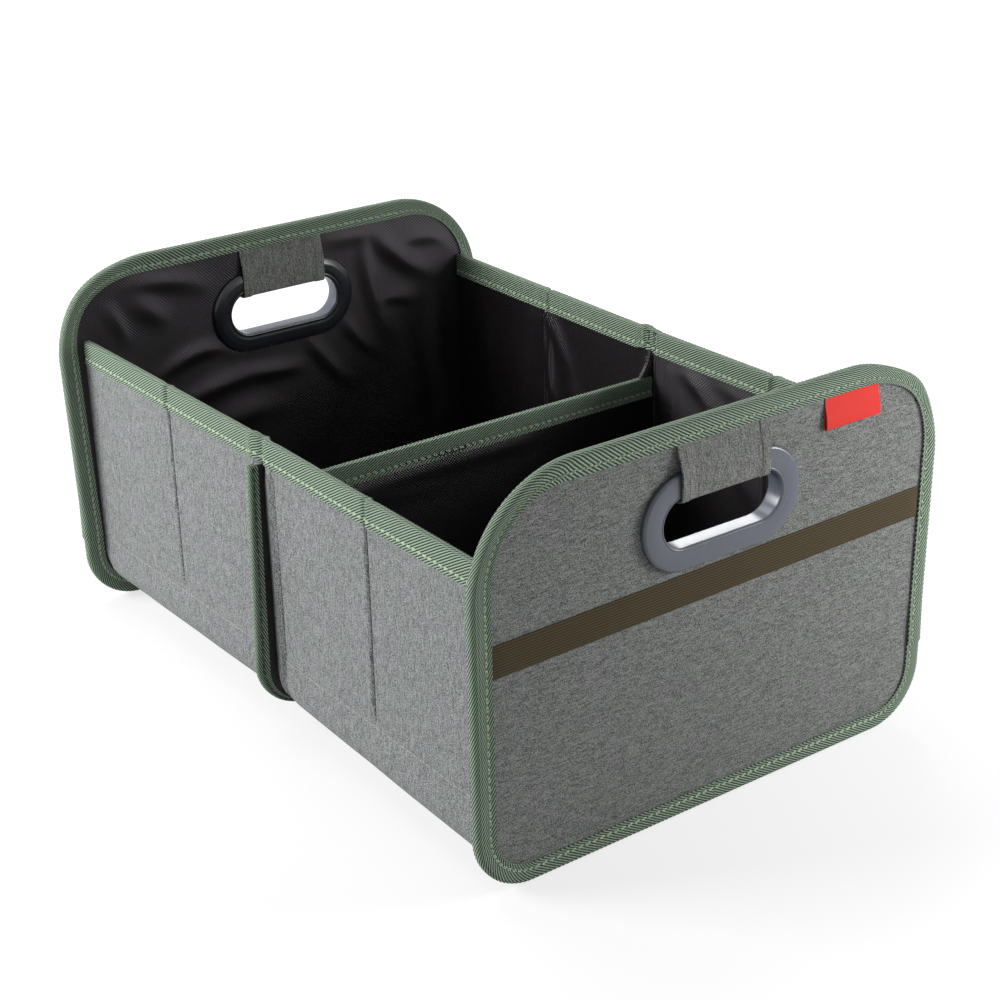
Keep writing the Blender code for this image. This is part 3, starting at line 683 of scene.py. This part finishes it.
def soften(corners, bend, steps=4):
    """A closed section with each corner rounded."""
    rounded = []
    for place, corner in enumerate(corners):
        corner = Vector(corner)
        sides = [Vector(corners[place - 1]) - corner, Vector(corners[(place + 1) % len(corners)]) - corner]
        start, end = [corner + side.normalized() * min(bend, side.length * 0.45) for side in sides]
        for step in range(steps + 1):
            share = step / steps
            rounded.append(start.lerp(corner, share).lerp(corner.lerp(end, share), share))
    return rounded


def moulded_ring(name, end, section, finish):
    """A closed section carried round the hand hole, as (distance from the hole, out)."""
    half_turn = math.pi * HOLE_RADIUS

    def lay(along, across):
        grow, out = section[round(across * len(section)) % len(section)]
        radius = HOLE_RADIUS + grow
        way = along * 2.0 * (HOLE_STRAIGHT + half_turn)
        flip = 1.0
        if way >= HOLE_STRAIGHT + half_turn:
            way -= HOLE_STRAIGHT + half_turn
            flip = -1.0
        if way < HOLE_STRAIGHT:
            x, z = way - HOLE_STRAIGHT / 2, -radius
        else:
            angle = (way - HOLE_STRAIGHT) / HOLE_RADIUS - math.pi / 2
            x, z = HOLE_STRAIGHT / 2 + radius * math.cos(angle), radius * math.sin(angle)
        return on_panel(end, flip * x, out, HOLE_Z + flip * z)

    bm = bmesh.new()
    bmesh.ops.create_grid(bm, x_segments=88, y_segments=len(section), size=0.5)
    for vert in bm.verts:
        vert.co = lay(vert.co.x + 0.5, vert.co.y + 0.5)
    bmesh.ops.remove_doubles(bm, verts=bm.verts, dist=0.00001)
    bmesh.ops.recalc_face_normals(bm, faces=bm.faces)
    return add_piece(name, bm, finish)


OUTER_RING = (
    (0.0, -0.0057), (0.0, 0.0056), (0.0007, 0.0067), (0.0014, 0.0069), (0.0018, 0.0064), (0.0026, 0.0066),
    (0.0080, 0.0068), (0.0138, 0.0066), (0.0150, 0.0052), (0.0150, 0.0029), (0.0030, 0.0029),
    (0.0030, -0.0057),
)
INNER_RING = (
    (0.0033, -0.0056), (0.0010, -0.0058), (0.0006, -0.0064), (0.0016, -0.0069), (0.0028, -0.0066),
    (0.0050, -0.0070), (0.0100, -0.0070), (0.0138, -0.0058), (0.0150, -0.0042), (0.0150, -0.0029),
    (0.0033, -0.0029),
)
outer_plastic = satin_plastic("satin_blue_grey_plastic", (0.088, 0.097, 0.124), (0.112, 0.123, 0.155))
inner_plastic = satin_plastic("satin_black_plastic", (0.012, 0.013, 0.017), (0.020, 0.021, 0.027))
for end in ("front", "rear"):
    for word, corners, finish in (("outer", OUTER_RING, outer_plastic), ("inner", INNER_RING, inner_plastic)):
        ring = moulded_ring(f"{end}_{word}_handle_ring", end, soften(corners, 0.0009), finish)
        carry(ring, "root", "ring_plastic", f"{end}_handle_{word}_ring")


# Grip straps. A 70 mm band of the grey cloth, hemmed down both sides, comes out from under the
# top tape, folds round the ring's top bar and goes up again inside.
strap_cloth = heather_cloth("strap_cloth", (0.028, 0.030, 0.027), (0.35, 0.36, 0.34))
olive_thread = sewing_thread("olive_thread", 0.65, 0.3, 1500.0, (0.20, 0.20, 0.12), (0.38, 0.37, 0.24))
STRAP_TURN = (0.0000, 0.2114)
STRAP_DOWN = [
    (0.0030, 0.2490), (0.0046, 0.2400), (0.0072, 0.2308), (0.0074, 0.2250), (0.0074, 0.2160),
    (0.0071, 0.2128), (0.0052, 0.2116),
]
STRAP_ROUTE = STRAP_DOWN + [STRAP_TURN] + [(-out, z) for out, z in reversed(STRAP_DOWN)]


def smooth_route(points, step):
    """A route through the points with its bends eased, spaced evenly, and its length."""
    eased = [Vector((point[0], point[1], 0.0)) for point in points]
    for _ in range(2):
        cut = [eased[0]]
        for start, end in zip(eased, eased[1:]):
            cut += [start.lerp(end, 0.25), start.lerp(end, 0.75)]
        eased = cut + [eased[-1]]
    pairs, length = resample(eased, eased, step)
    return [pair[0] for pair in pairs], length


def lock_stitches(name, count, pitch, spot, thread, slot, radius):
    """A row of short threads, each a thin rod with its ends bent into the cloth."""
    bm = bmesh.new()
    bmesh.ops.create_cone(bm, cap_ends=True, segments=5, radius1=radius, radius2=radius, depth=pitch * 0.78)
    whole = bm.verts[:] + bm.edges[:] + bm.faces[:]
    bmesh.ops.bisect_plane(bm, geom=whole, plane_co=(0, 0, 0), plane_no=(0, 0, 1))
    bmesh.ops.rotate(bm, verts=bm.verts, cent=(0.0, 0.0, 0.0), matrix=Matrix.Rotation(math.pi / 2, 3, "Y"))
    bmesh.ops.recalc_face_normals(bm, faces=bm.faces)
    for vert in bm.verts:
        vert.co.z += radius * 1.4 * (1.0 - (abs(vert.co.x) / (pitch * 0.39)) ** 2)
        vert.co.x += pitch / 2
    sew(name, bm, count, pitch, spot, thread, slot)


def add_grip_strap(end):
    route, length = smooth_route(STRAP_ROUTE, 0.0012)

    def spot(along, across, lift=0.0):
        place = clamped(along / length) * (len(route) - 1)
        first = min(int(place), len(route) - 2)
        point = route[first].lerp(route[first + 1], place - first)
        course = (route[first + 1] - route[first]).normalized()
        out = Vector((-course.y, course.x, 0.0))
        outside = clamped(point.x / 0.004)
        beside = abs(across)
        hem = 0.6 * MILLIMETRE / (1.0 + math.exp(-(beside - 0.0277) / 0.0003))
        hem -= 0.35 * MILLIMETRE * hump(beside, 0.0290, 0.0006)
        lean = across * (1.0 - 0.05 * outside * (0.249 - point.y) / 0.037) if across < 0 else across
        bulge = math.sin(math.pi * clamped((0.247 - point.y) / 0.034))
        proud = 1.3 * MILLIMETRE * outside * max(0.0, (-across - 0.024) / 0.011) * bulge
        point = point + out * (lift + hem + proud)
        return on_panel(end, lean, point.x, point.y)

    def lay(along, across):
        return spot(along, across - 0.035)

    def facing(point):
        return Vector((0.0, (1.0 if point.y > 0 else -1.0) * (abs(point.y) - PANEL_MID_Y), 0.0))

    hems = evenly(0.0, 0.006, 0.0006) + evenly(0.0075, 0.0625, 0.0025) + evenly(0.064, 0.070, 0.0006)
    strap = woven_sheet(f"{end}_grey_grip_strap", (length, 0.0012), hems, lay, facing, 0.0012, strap_cloth)
    carry(strap, "root", "grey_cloth", f"{end}_grip_strap")
    for side, word in ((-1.0, "left"), (1.0, "right")):
        def hem_spot(along, beside, above):
            return spot(0.002 + along, side * 0.0290 + beside, above)

        hem_name = f"{end}_strap_{word}_hem_stitches"
        lock_stitches(hem_name, 31, 0.0032, hem_spot, olive_thread, "grey_cloth", 0.0003)


add_grip_strap("front")
add_grip_strap("rear")


# Elastic band. A 21 mm brown olive elastic with ribs along it runs across the front panel, a
# little lower on the left, and is caught under the edge tape at both ends.
BAND_LENGTH = 0.338
BAND_WIDTH = 0.021
BAND_RIBS = 12.0
elastic, tree, shader = new_finish("ribbed_olive_elastic", 0.85, Specular_IOR_Level=0.2)
ribs = thread_rows(tree, 0.0, BAND_RIBS / BAND_WIDTH, 0.2)
weave = maths(tree, "MULTIPLY_ADD", thread_rows(tree, 1100.0, 300.0, 0.8), 0.5, ribs)
colour = blend(tree, stretched(tree, weave, 0.0, 1.4), (0.003, 0.0022, 0.001), (0.098, 0.074, 0.038))
dress(tree, shader, colour, weave, 0.5, 0.0003)


def lay_band(along, across):
    x = along - BAND_LENGTH / 2
    z = 0.1515 + 0.0050 * along / BAND_LENGTH + across - BAND_WIDTH / 2
    rounded = 1.0 - (across / (BAND_WIDTH / 2) - 1.0) ** 8
    rib = 0.25 * abs(math.sin(BAND_RIBS * math.pi * across / BAND_WIDTH))
    tucked = clamped((BAND_LENGTH / 2 - abs(x)) / 0.003)
    thick = MILLIMETRE * (0.15 + (0.85 * rounded + rib) * tucked)
    return on_panel("front", x, COVER_FACE + 0.0003 + thick, z)


band = woven_sheet("olive_elastic_band", (BAND_LENGTH, 0.006), (BAND_WIDTH, 0.00035), lay_band,
                   (0.0, -1.0, 0.0), 0.0006, elastic)
carry(band, "root", "band_elastic", "front_elastic_band")


# Tag. A plain red woven label, folded once and with both its ends caught under the top tape. It
# stands a little open, so its left end shows the fold's dark inside.
tag_cloth, tree, shader = new_finish("plain_red_woven_label", 0.72, Specular_IOR_Level=0.25)
weave = maths(tree, "ADD", thread_rows(tree, 2400.0, 0.0, 0.5), thread_rows(tree, 0.0, 2400.0, 0.5))
colour = blend(tree, stretched(tree, weave, 0.0, 2.0), (0.60, 0.020, 0.016), (0.84, 0.042, 0.030))
dress(tree, shader, colour, weave, 0.3, 0.0002)
TAG_ROUTE = (
    (0.0026, 0.2480), (0.0028, 0.2400), (0.0030, 0.2300), (0.0033, 0.2272), (0.0046, 0.2262),
    (0.0058, 0.2272), (0.0060, 0.2300), (0.0054, 0.2350), (0.0043, 0.2395), (0.0033, 0.2430),
    (0.0031, 0.2480),
)
TAG_MIDDLE = 0.0037
tag_route, tag_length = smooth_route(TAG_ROUTE, 0.0008)
tag_step = tag_length / (len(tag_route) - 1)


def lay_tag(along, across):
    point = tag_route[round(along / tag_step)]
    x = 0.082 + across
    drop = 0.052 - math.sqrt(0.052**2 - max(0.0, x - 0.115) ** 2)
    sink = drop * clamped((point.y - 0.2290) / 0.016)
    return on_panel("front", x, point.x, point.y - sink)


def out_of_the_fold(point):
    return Vector((0.0, point.y + PANEL_MID_Y + TAG_MIDDLE, 0.0))


tag = woven_sheet("red_label_tag", (tag_length, tag_step), (0.045, 0.0018), lay_tag,
                  out_of_the_fold, 0.0006, tag_cloth)
carry(tag, "root", "red_tag", "front_label_tag")


# Sleeves. Each compartment's walls and bottom are one sleeve of the grey cloth outside and one of
# the black lining inside, sewn to the end panel, the divider and the tape over the walls. Stiff
# boards make the walls flat down to a stitched line, and a fold crosses each wall half way.
SLEEVE_TOP_Z = 0.2058
SLEEVE_LOW_Z = 0.019
WALL_X = (0.1627, 0.1654)
SLEEVE_NEAR_Y = 0.0020
SLEEVE_FAR_Y = 0.2433
SLEEVE_THICKNESS = 0.0007
FOLD_Y = 0.12165
CORNER = 0.022
BOTTOM_HALF = 0.164 - CORNER
WALL_STACK = 0.0036
SEAM_DROP = 0.1525
SLEEVE_LENGTH = 2.0 * (SLEEVE_TOP_Z - SLEEVE_LOW_Z - CORNER) + math.pi * CORNER + 2.0 * BOTTOM_HALF


def wall_x(y):
    """Distance of a wall's outer face from the box's middle plane."""
    return WALL_X[0] + (WALL_X[1] - WALL_X[0]) * abs(y) / SLEEVE_FAR_Y


def sleeve_spot(y, down, depth=0.0):
    """Point of a sleeve: down from the left wall's top, round the bottom and up the right wall,
    and depth inside the outer face."""
    half = wall_x(y) - depth
    side = -1.0
    straight = SLEEVE_TOP_Z - SLEEVE_LOW_Z - CORNER
    if down > SLEEVE_LENGTH / 2:
        down, side = SLEEVE_LENGTH - down, 1.0
    if down < straight:
        return Vector((side * half, y, SLEEVE_TOP_Z - down))
    down -= straight
    radius = CORNER - depth
    if down < math.pi / 2 * CORNER:
        turn = down / CORNER
        x = half - radius + radius * math.cos(turn)
        return Vector((side * x, y, SLEEVE_LOW_Z + CORNER - radius * math.sin(turn)))
    share = min(1.0, (down - math.pi / 2 * CORNER) / BOTTOM_HALF)
    return Vector((side * (half - radius) * (1.0 - share), y, SLEEVE_LOW_Z + depth))


def wall_dip(y, wall):
    """How far a wall's top edge stands out of its plain line, in millimetres. The left wall is -1."""
    run = abs(y)
    out = -1.7 * hump(run, FOLD_Y, 0.0015) + 0.7 * hump(run, FOLD_Y + 0.005, 0.003)
    if wall > 0.0:
        return out + 1.3 * math.exp(-((y / 0.009) ** 4)) - 1.0 * hump(run, 0.0075, 0.0014)
    return out + 1.6 * hump(y, 0.0100, 0.0048) - 2.0 * hump(y, -0.001, 0.0024) + 0.6 * hump(y, -0.010, 0.004)


def wall_shift(y, down):
    """How far the cloth follows the wall's top edge, in millimetres. It does so under the tape
    and a little below it."""
    drop = min(down, SLEEVE_LENGTH - down)
    return wall_dip(y, -1.0 if down < SLEEVE_LENGTH / 2 else 1.0) * clamped((0.0290 - drop) / 0.0100)


def fading(value, middle, width):
    """1 below the middle and 0 above it, with a soft step between."""
    return 1.0 / (1.0 + math.exp((value - middle) / width))


def cover_swell(y, down):
    """How far a sleeve's cover stands off its plain shape, in millimetres."""
    run = abs(y)
    drop = min(down, SLEEVE_LENGTH - down)
    fold = -1.7 * hump(run, FOLD_Y, 0.0012) + 0.35 * hump(run, FOLD_Y - 0.0045, 0.0022)
    fold -= 0.35 * hump(run, FOLD_Y + 0.0060, 0.0013)
    seam = -0.35 * hump(drop, SEAM_DROP, 0.0016)
    full = 3.5 + 5.0 * max(0.0, -y) / SLEEVE_FAR_Y
    ends = min(1.0, max(0.0, run - 0.0040) / 0.014, max(0.0, SLEEVE_FAR_Y - run) / 0.008)
    hang = full * ends * hump(drop, 0.184, 0.016)
    pleat = 1.6 * hump(run, 0.0075, 0.0030) - 1.0 * hump(run, 0.0130, 0.0013)
    loose = 0.35 * (noise.noise(Vector((y * 18.0, down * 14.0, 7.0))) + 0.3)
    swell = fold * fading(drop, SEAM_DROP - 0.004, 0.004) + seam + hang + pleat + loose
    return swell * clamped((drop - 0.0160) / 0.005)


wall_cloth = heather_cloth("heather_grey_wall_cloth", (0.032, 0.034, 0.034), (0.40, 0.418, 0.414))


def closer(low, high, coarse, fine, marks, reach):
    """Places from low to high, coarse apart, but fine apart within reach of the marks."""
    places = [low]
    while places[-1] < high:
        near = any(abs(places[-1] - mark) < reach for mark in marks)
        places.append(places[-1] + (fine if near else coarse))
    return [min(place, high) for place in places[:-1]] + [high]


SLEEVE_Y = closer(SLEEVE_NEAR_Y, SLEEVE_FAR_Y, 0.0042, 0.0009, (FOLD_Y, 0.0085), 0.0085)
SLEEVE_DOWN = closer(0.0, 0.210, 0.0050, 0.0012, (SEAM_DROP,), 0.004)
SLEEVE_DOWN += evenly(0.219, SLEEVE_LENGTH - 0.219, 0.009)
SLEEVE_DOWN += [SLEEVE_LENGTH - down for down in reversed(SLEEVE_DOWN) if down < 0.2105]


# Each fold goes from (distance from the divider, drop from the wall's top) to another such place
LINING_FOLDS = {
    "front": (
        (0.020, 0.008, 0.075, 0.048, 0.0055, 2.4, 0.002), (0.030, 0.008, 0.102, 0.026, 0.0050, 2.2, 0.002),
        (0.022, 0.012, 0.026, 0.070, 0.0030, 1.2, 0.000), (0.060, 0.050, 0.110, 0.100, 0.0080, 1.8, 0.004),
        (0.140, 0.020, 0.190, 0.130, 0.0090, 1.8, 0.008), (0.230, 0.020, 0.180, 0.120, 0.0090, 1.6, 0.006),
    ),
    "rear": (
        (0.120, 0.012, 0.098, 0.052, 0.0055, 2.2, 0.002), (0.124, 0.020, 0.108, 0.100, 0.0050, 1.8, 0.004),
        (0.100, 0.050, 0.060, 0.110, 0.0090, 1.6, 0.006), (0.140, 0.020, 0.160, 0.140, 0.0080, 1.5, 0.006),
        (0.205, 0.015, 0.190, 0.120, 0.0080, 1.6, 0.005), (0.225, 0.015, 0.222, 0.080, 0.0060, 1.2, 0.002),
    ),
}


def cover_depth(end, y, down):
    return -MILLIMETRE * (max(-1.5, cover_swell(y, down)) + wall_shift(y, down))


def lining_depth(end, y, down):
    """How deep a sleeve's lining lies inside the cover's plain face."""
    run = abs(y)
    drop = min(down, SLEEVE_LENGTH - down)
    folds = 1.3 * fold_height(run, drop, LINING_FOLDS[end])
    crease = 1.1 * hump(run, FOLD_Y + 0.0035, 0.0020) + 1.1 * hump(run, FOLD_Y - 0.0035, 0.0020)
    loose = 0.5 * (noise.noise(Vector((y * 24.0, down * 20.0, 11.0))) + 0.5)
    stands = folds + crease * fading(drop, SEAM_DROP, 0.006) + loose
    ends = clamped(min((run - SLEEVE_NEAR_Y) / 0.006, (SLEEVE_FAR_Y - run) / 0.006, (drop - 0.0165) / 0.007))
    swell = max(0.0, stands * ends * fading(drop, 0.185, 0.004))
    return WALL_STACK + MILLIMETRE * (swell - min(0.2, wall_shift(y, down)))


def add_sleeve(end, word, node, slot, depth, cloth):
    side = -1.0 if end == "front" else 1.0
    outward = 1.0 if depth is cover_depth else -1.0

    def lay(down, y):
        return sleeve_spot(side * y, down, depth(end, side * y, down))

    def facing(point):
        return outward * Vector((point.x, 0.0, point.z - 0.13))

    sleeve = woven_sheet(f"{end}_{word}", SLEEVE_DOWN, SLEEVE_Y, lay, facing, SLEEVE_THICKNESS, cloth)
    carry(sleeve, "root", slot, f"{end}_{node}")


wall_thread = sewing_thread("pale_wall_thread", 0.7, 0.2, 1200.0, (0.24, 0.25, 0.22), (0.42, 0.43, 0.38))
# Stitches sewn in this near-black thread paint shade: the dark crease along each wall's fold, the groove
# beside the fin on the cover, and the fin's shaded front side.
dark_thread_for_painted_shade = sewing_thread("dark_thread_for_painted_shade", 0.8, 0.1, 1200.0, (0.016, 0.016, 0.016), (0.050, 0.050, 0.050))
grey_thread = sewing_thread("grey_thread", 0.7, 0.0, 1200.0, (0.05, 0.05, 0.05), (0.12, 0.12, 0.12))
# Each stitched line down a wall, its distance from the divider, and whether it is on the lining
WALL_LINES = (
    ("fold", FOLD_Y, False), ("fin", 0.0130, False), ("inner_near", 0.0046, True),
    ("inner_fold", FOLD_Y + 0.0052, True), ("inner_fold_2", FOLD_Y - 0.0052, True),
)
for end, side in (("front", -1.0), ("rear", 1.0)):
    add_sleeve(end, "grey_sleeve", "sleeve_cover", "grey_cloth", cover_depth, wall_cloth)
    add_sleeve(end, "black_sleeve_lining", "sleeve_lining", "black_lining", lining_depth, lining_cloth)
    for wall, down in (("left", SEAM_DROP), ("right", SLEEVE_LENGTH - SEAM_DROP)):
        def seam_spot(along, beside, above):
            return sleeve_spot(side * (0.010 + along), down + beside, 0.0002 - above)

        lock_stitches(f"{end}_{wall}_wall_seam", 33, 0.0069, seam_spot, wall_thread, "grey_cloth", 0.00026)
    for wall in ("left", "right"):
        for line, run, inside in WALL_LINES:
            def line_spot(along, beside, above):
                down = 0.0195 + along if wall == "left" else SLEEVE_LENGTH - 0.0195 - along
                depth = WALL_STACK + above + 0.0004 if inside else 0.0009 - above
                return sleeve_spot(side * (run + beside), down, depth)

            # On the cover the lines are in the near-black thread, as painted shade of the crease at the fold
            # and of the groove beside the fin.
            thread, slot = (grey_thread, "black_lining") if inside else (dark_thread_for_painted_shade, "grey_cloth")
            lock_stitches(f"{end}_{wall}_wall_{line}_stitches", 36, 0.0036, line_spot, thread, slot, 0.00030)


# Wall tapes. One length of the green tape runs over each wall's top edge from end panel to end
# panel. It creases at the two folds, and at the divider it bulges behind and jogs inwards.
WALL_TAPE = 0.017
for word, side, finish in (("left", -1.0, left_leaning_tape), ("right", 1.0, right_leaning_tape)):
    ends = []
    for half_millimetres in range(-484, 485):
        y = half_millimetres * 0.0005
        rise = 2.0 * hump(y, 0.0080, 0.0050) - 0.6 * hump(abs(y), FOLD_Y, 0.0016)
        x = wall_x(y) - WALL_STACK / 2 + MILLIMETRE * wall_dip(y, side)
        ends.append(Vector((side * x, y, 0.207 + MILLIMETRE * rise)))
    route = resample(ends, [point - Vector((0.0, 0.0, WALL_TAPE)) for point in ends])
    wall_tape = FoldedTape(route, (side, 0.0, 0.0), width=WALL_TAPE, half=0.0030, rounding=0.0022,
                           lean=side, press=0.35)
    bind(f"{word}_wall_tape", f"{word}_wall_binding", wall_tape, finish,
         ("outer", "inner"), pale_thread)


# Divider. A stiff sheet between two black covers crosses the box at its middle. Tape binds its top
# edge between the walls, and a second tape binds the fin that stands out of the walls and the foot.
DIVIDER_TOP_Z = 0.173
DIVIDER_LOW_Z = 0.0165
DIVIDER_CLOTH = (0.346, 0.1725)
DIVIDER_FOLDS = (
    (-0.150, 0.155, -0.020, 0.140, 0.006, 1.2, 0.004),
    (-0.090, 0.120, -0.040, 0.060, 0.012, 1.2, 0.01),
    (0.040, 0.140, 0.110, 0.060, 0.012, 1.2, -0.01),
)


def add_divider_cover(word, side):
    def lay(along, across):
        x, z = along - DIVIDER_CLOTH[0] / 2, DIVIDER_LOW_Z + across
        inner = clamped((0.157 - abs(x)) / 0.012) * clamped((z - 0.036) / 0.02)
        belly = 2.2 * hump(z, 0.153, 0.0065) * fading(x, 0.052, 0.008)
        loose = 0.4 * (noise.noise(Vector((x * 22.0, z * 22.0, 17.0))) + 0.5)
        stands = belly + fold_height(x, z, DIVIDER_FOLDS) + loose
        return Vector((x, side * (0.0019 + MILLIMETRE * max(0.0, stands) * inner), z))

    def keep(point):
        x, z = abs(point.x), point.z
        if z > 0.168:
            return 0.1575 < x < 0.171
        if x > 0.142 and z < 0.0493:
            return (x - 0.142) ** 2 + (z - 0.0493) ** 2 < 0.0305**2
        return x < 0.171

    alongs, acrosses = [(length, 0.0035) for length in DIVIDER_CLOTH]
    cover = woven_sheet(f"divider_{word}_black_cover", alongs, acrosses, lay, (0.0, side, 0.0),
                        SLEEVE_THICKNESS, lining_cloth, keep)
    carry(cover, "root", "black_lining", f"divider_{word}_cover")


def add_gusset(word, side):
    """The covers' own corner, rising from the divider's top to the tape over a wall."""
    def width(across):
        return 0.0030 + 0.0125 * (1.0 - across / 0.022) ** 1.7

    def lay(along, across):
        return Vector((side * (0.1605 - width(across) * along / 0.016), 0.0013, 0.1695 + across))

    def spot(along, beside, above):
        across = 0.0035 + along
        return Vector((side * (0.1622 - width(across) + beside), -0.0014 - above, 0.1695 + across))

    name = f"divider_{word}_gusset"
    gusset = woven_sheet(name, (0.016, 0.002), (0.022, 0.002), lay, (0.0, 1.0, 0.0), 0.0026, lining_cloth)
    carry(gusset, "root", "black_lining")
    lock_stitches(f"{name}_stitches", 7, 0.0025, spot, grey_thread, "black_lining", 0.00026)


add_divider_cover("front", -1.0)
add_divider_cover("rear", 1.0)
add_gusset("left", -1.0)
add_gusset("right", 1.0)

TOP_TAPE = 0.015
ends = [Vector((x * 0.001, 0.0, DIVIDER_TOP_Z)) for x in range(-158, 159)]
route = resample(ends, [point - Vector((0.0, 0.0, TOP_TAPE)) for point in ends])
top_tape = FoldedTape(route, (0.0, -1.0, 0.0), width=TOP_TAPE, half=0.0031, rounding=0.0022, lean=1.0)
bind("divider_top_tape", "divider_top_binding", top_tape, right_leaning_tape,
     ("front", "rear"), pale_thread)

fin_sides = []
for top_x, centre_x, centre_z, radius in ((0.1735, 0.142, 0.0493, 0.036), (0.1632, 0.1412, 0.0405, 0.022)):
    right = quarter(centre_x, centre_z, radius, -90) + [Vector((top_x, 0.0, 0.1895))]
    fin_sides.append([Vector((-point.x, 0.0, point.z)) for point in reversed(right)] + right)
inner = [edge.lerp(deep, 0.58) for edge, deep in zip(*fin_sides)]
route = resample(fin_sides[0], inner)
fin_tape = FoldedTape(route, (0.0, -1.0, 0.0), width=0.0075, half=0.0031, rounding=0.0024, lean=-1.0)
# The fin tape's stitches are in the near-black thread: painted shade on the fin's shaded front side.
bind("divider_fin_tape", "divider_edge_binding", fin_tape, left_leaning_tape,
     ("front", "rear"), dark_thread_for_painted_shade)


# Floors. Each compartment has a stiff floor in a pocket of the black lining. The pocket is sewn
# down along the divider, where the floor hinges up. A tape loop lifts its free end, and a strip of
# hook tape under it grips a strip of loop tape on the bottom.
hook_tape, tree, shader = new_finish("black_hook_and_loop", 0.95, Sheen_Weight=0.3)
cloth = wire(tree, "UVMap", {}, uv_map="UVMap")
pile = wire(tree, "TexVoronoi", {"Vector": cloth, "Scale": 1100.0}, "Distance")
colour = blend(tree, pile, (0.030, 0.030, 0.031), (0.008, 0.008, 0.008))
dress(tree, shader, colour, pile, 0.8, 0.0006, invert=True)
HINGE_Y = 0.0024
HINGE_Z = 0.0297
FLOOR_LENGTH = 0.2382
FLOOR_HALF = 0.1471
FLOOR_MIDDLE_Z = HINGE_Z - 0.0023
FLOOR_FAR_Y = HINGE_Y + FLOOR_LENGTH
STRIP = (0.080, 0.020)
LOOP_ROUTE = (
    (0.0003, 0.0), (0.0003, 0.008), (0.0012, 0.010), (0.0028, 0.014), (0.0032, 0.018), (0.0028, 0.022),
    (0.0012, 0.026), (0.0003, 0.028), (0.0003, 0.036),
)
loop_route, loop_length = smooth_route(LOOP_ROUTE, 0.0009)
loop_step = loop_length / (len(loop_route) - 1)


def add_strip(name, side, low, up):
    """A strip of hook or loop tape with a thin rim, facing up or down."""
    def lay(along, across):
        x, run = along - STRIP[0] / 2, FLOOR_FAR_Y - 0.003 - across
        rim = min(STRIP[0] / 2 - abs(x), across, STRIP[1] - across)
        pile_height = 0.0008 if rim > 0.0015 else 0.0005
        return Vector((x, side * run, low + (pile_height if up else 0.0008 - pile_height)))

    facing = (0.0, 0.0, 1.0 if up else -1.0)
    return woven_sheet(name, (STRIP[0], 0.0016), (STRIP[1], 0.0014), lay, facing, 0.0004, hook_tape)


def add_floor(end, side):
    body = f"{end}_floor"

    def lay_pocket(along, across):
        run = HINGE_Y + 0.0004 + across
        top = along < 2.0 * FLOOR_HALF
        x = along - FLOOR_HALF if top else 3.0 * FLOOR_HALF - along
        edge = clamped((FLOOR_HALF - abs(x)) / 0.0022) ** 0.5
        thick = 2.3 * edge * clamped((FLOOR_FAR_Y - run) / 0.0022) ** 0.5
        puff = 0.35 * edge * (noise.noise(Vector((x * 20.0, run * 20.0, 23.0))) - 0.5)
        return Vector((x, side * run, FLOOR_MIDDLE_Z + MILLIMETRE * (thick + puff if top else -thick)))

    def off_the_middle(point):
        return Vector((0.0, 0.0, point.z - FLOOR_MIDDLE_Z))

    around, deep = (4.0 * FLOOR_HALF, 0.0055), (FLOOR_LENGTH - 0.0006, 0.0050)
    pocket = woven_sheet(f"{end}_floor_black_pocket", around, deep, lay_pocket, off_the_middle, 0.0006,
                         lining_cloth)
    carry(pocket, body, "black_lining", f"{end}_floor_pocket")

    def lay_loop(along, across):
        point = loop_route[round(along / loop_step)]
        return Vector((across - 0.010, side * (FLOOR_FAR_Y - 0.006 - point.y), HINGE_Z + point.x + TAPE))

    loop = woven_sheet(f"{end}_floor_green_loop", (loop_length, loop_step), (0.020, 0.0015), lay_loop,
                       (0.0, 0.0, 1.0), TAPE, right_leaning_tape)
    carry(loop, body, "green_tape", f"{end}_floor_pull_loop")

    hooks = add_strip(f"{end}_floor_hook_tape", side, HINGE_Z - 0.0046 - 0.0003 - 0.0008, False)
    carry(hooks, body, "hook_and_loop", f"{end}_floor_hook_strip")
    loops = add_strip(f"{end}_floor_loop_tape", side, SLEEVE_LOW_Z + WALL_STACK + 0.0003, True)
    carry(loops, "root", "hook_and_loop", f"{end}_floor_loop_strip")


add_floor("front", -1.0)
add_floor("rear", 1.0)
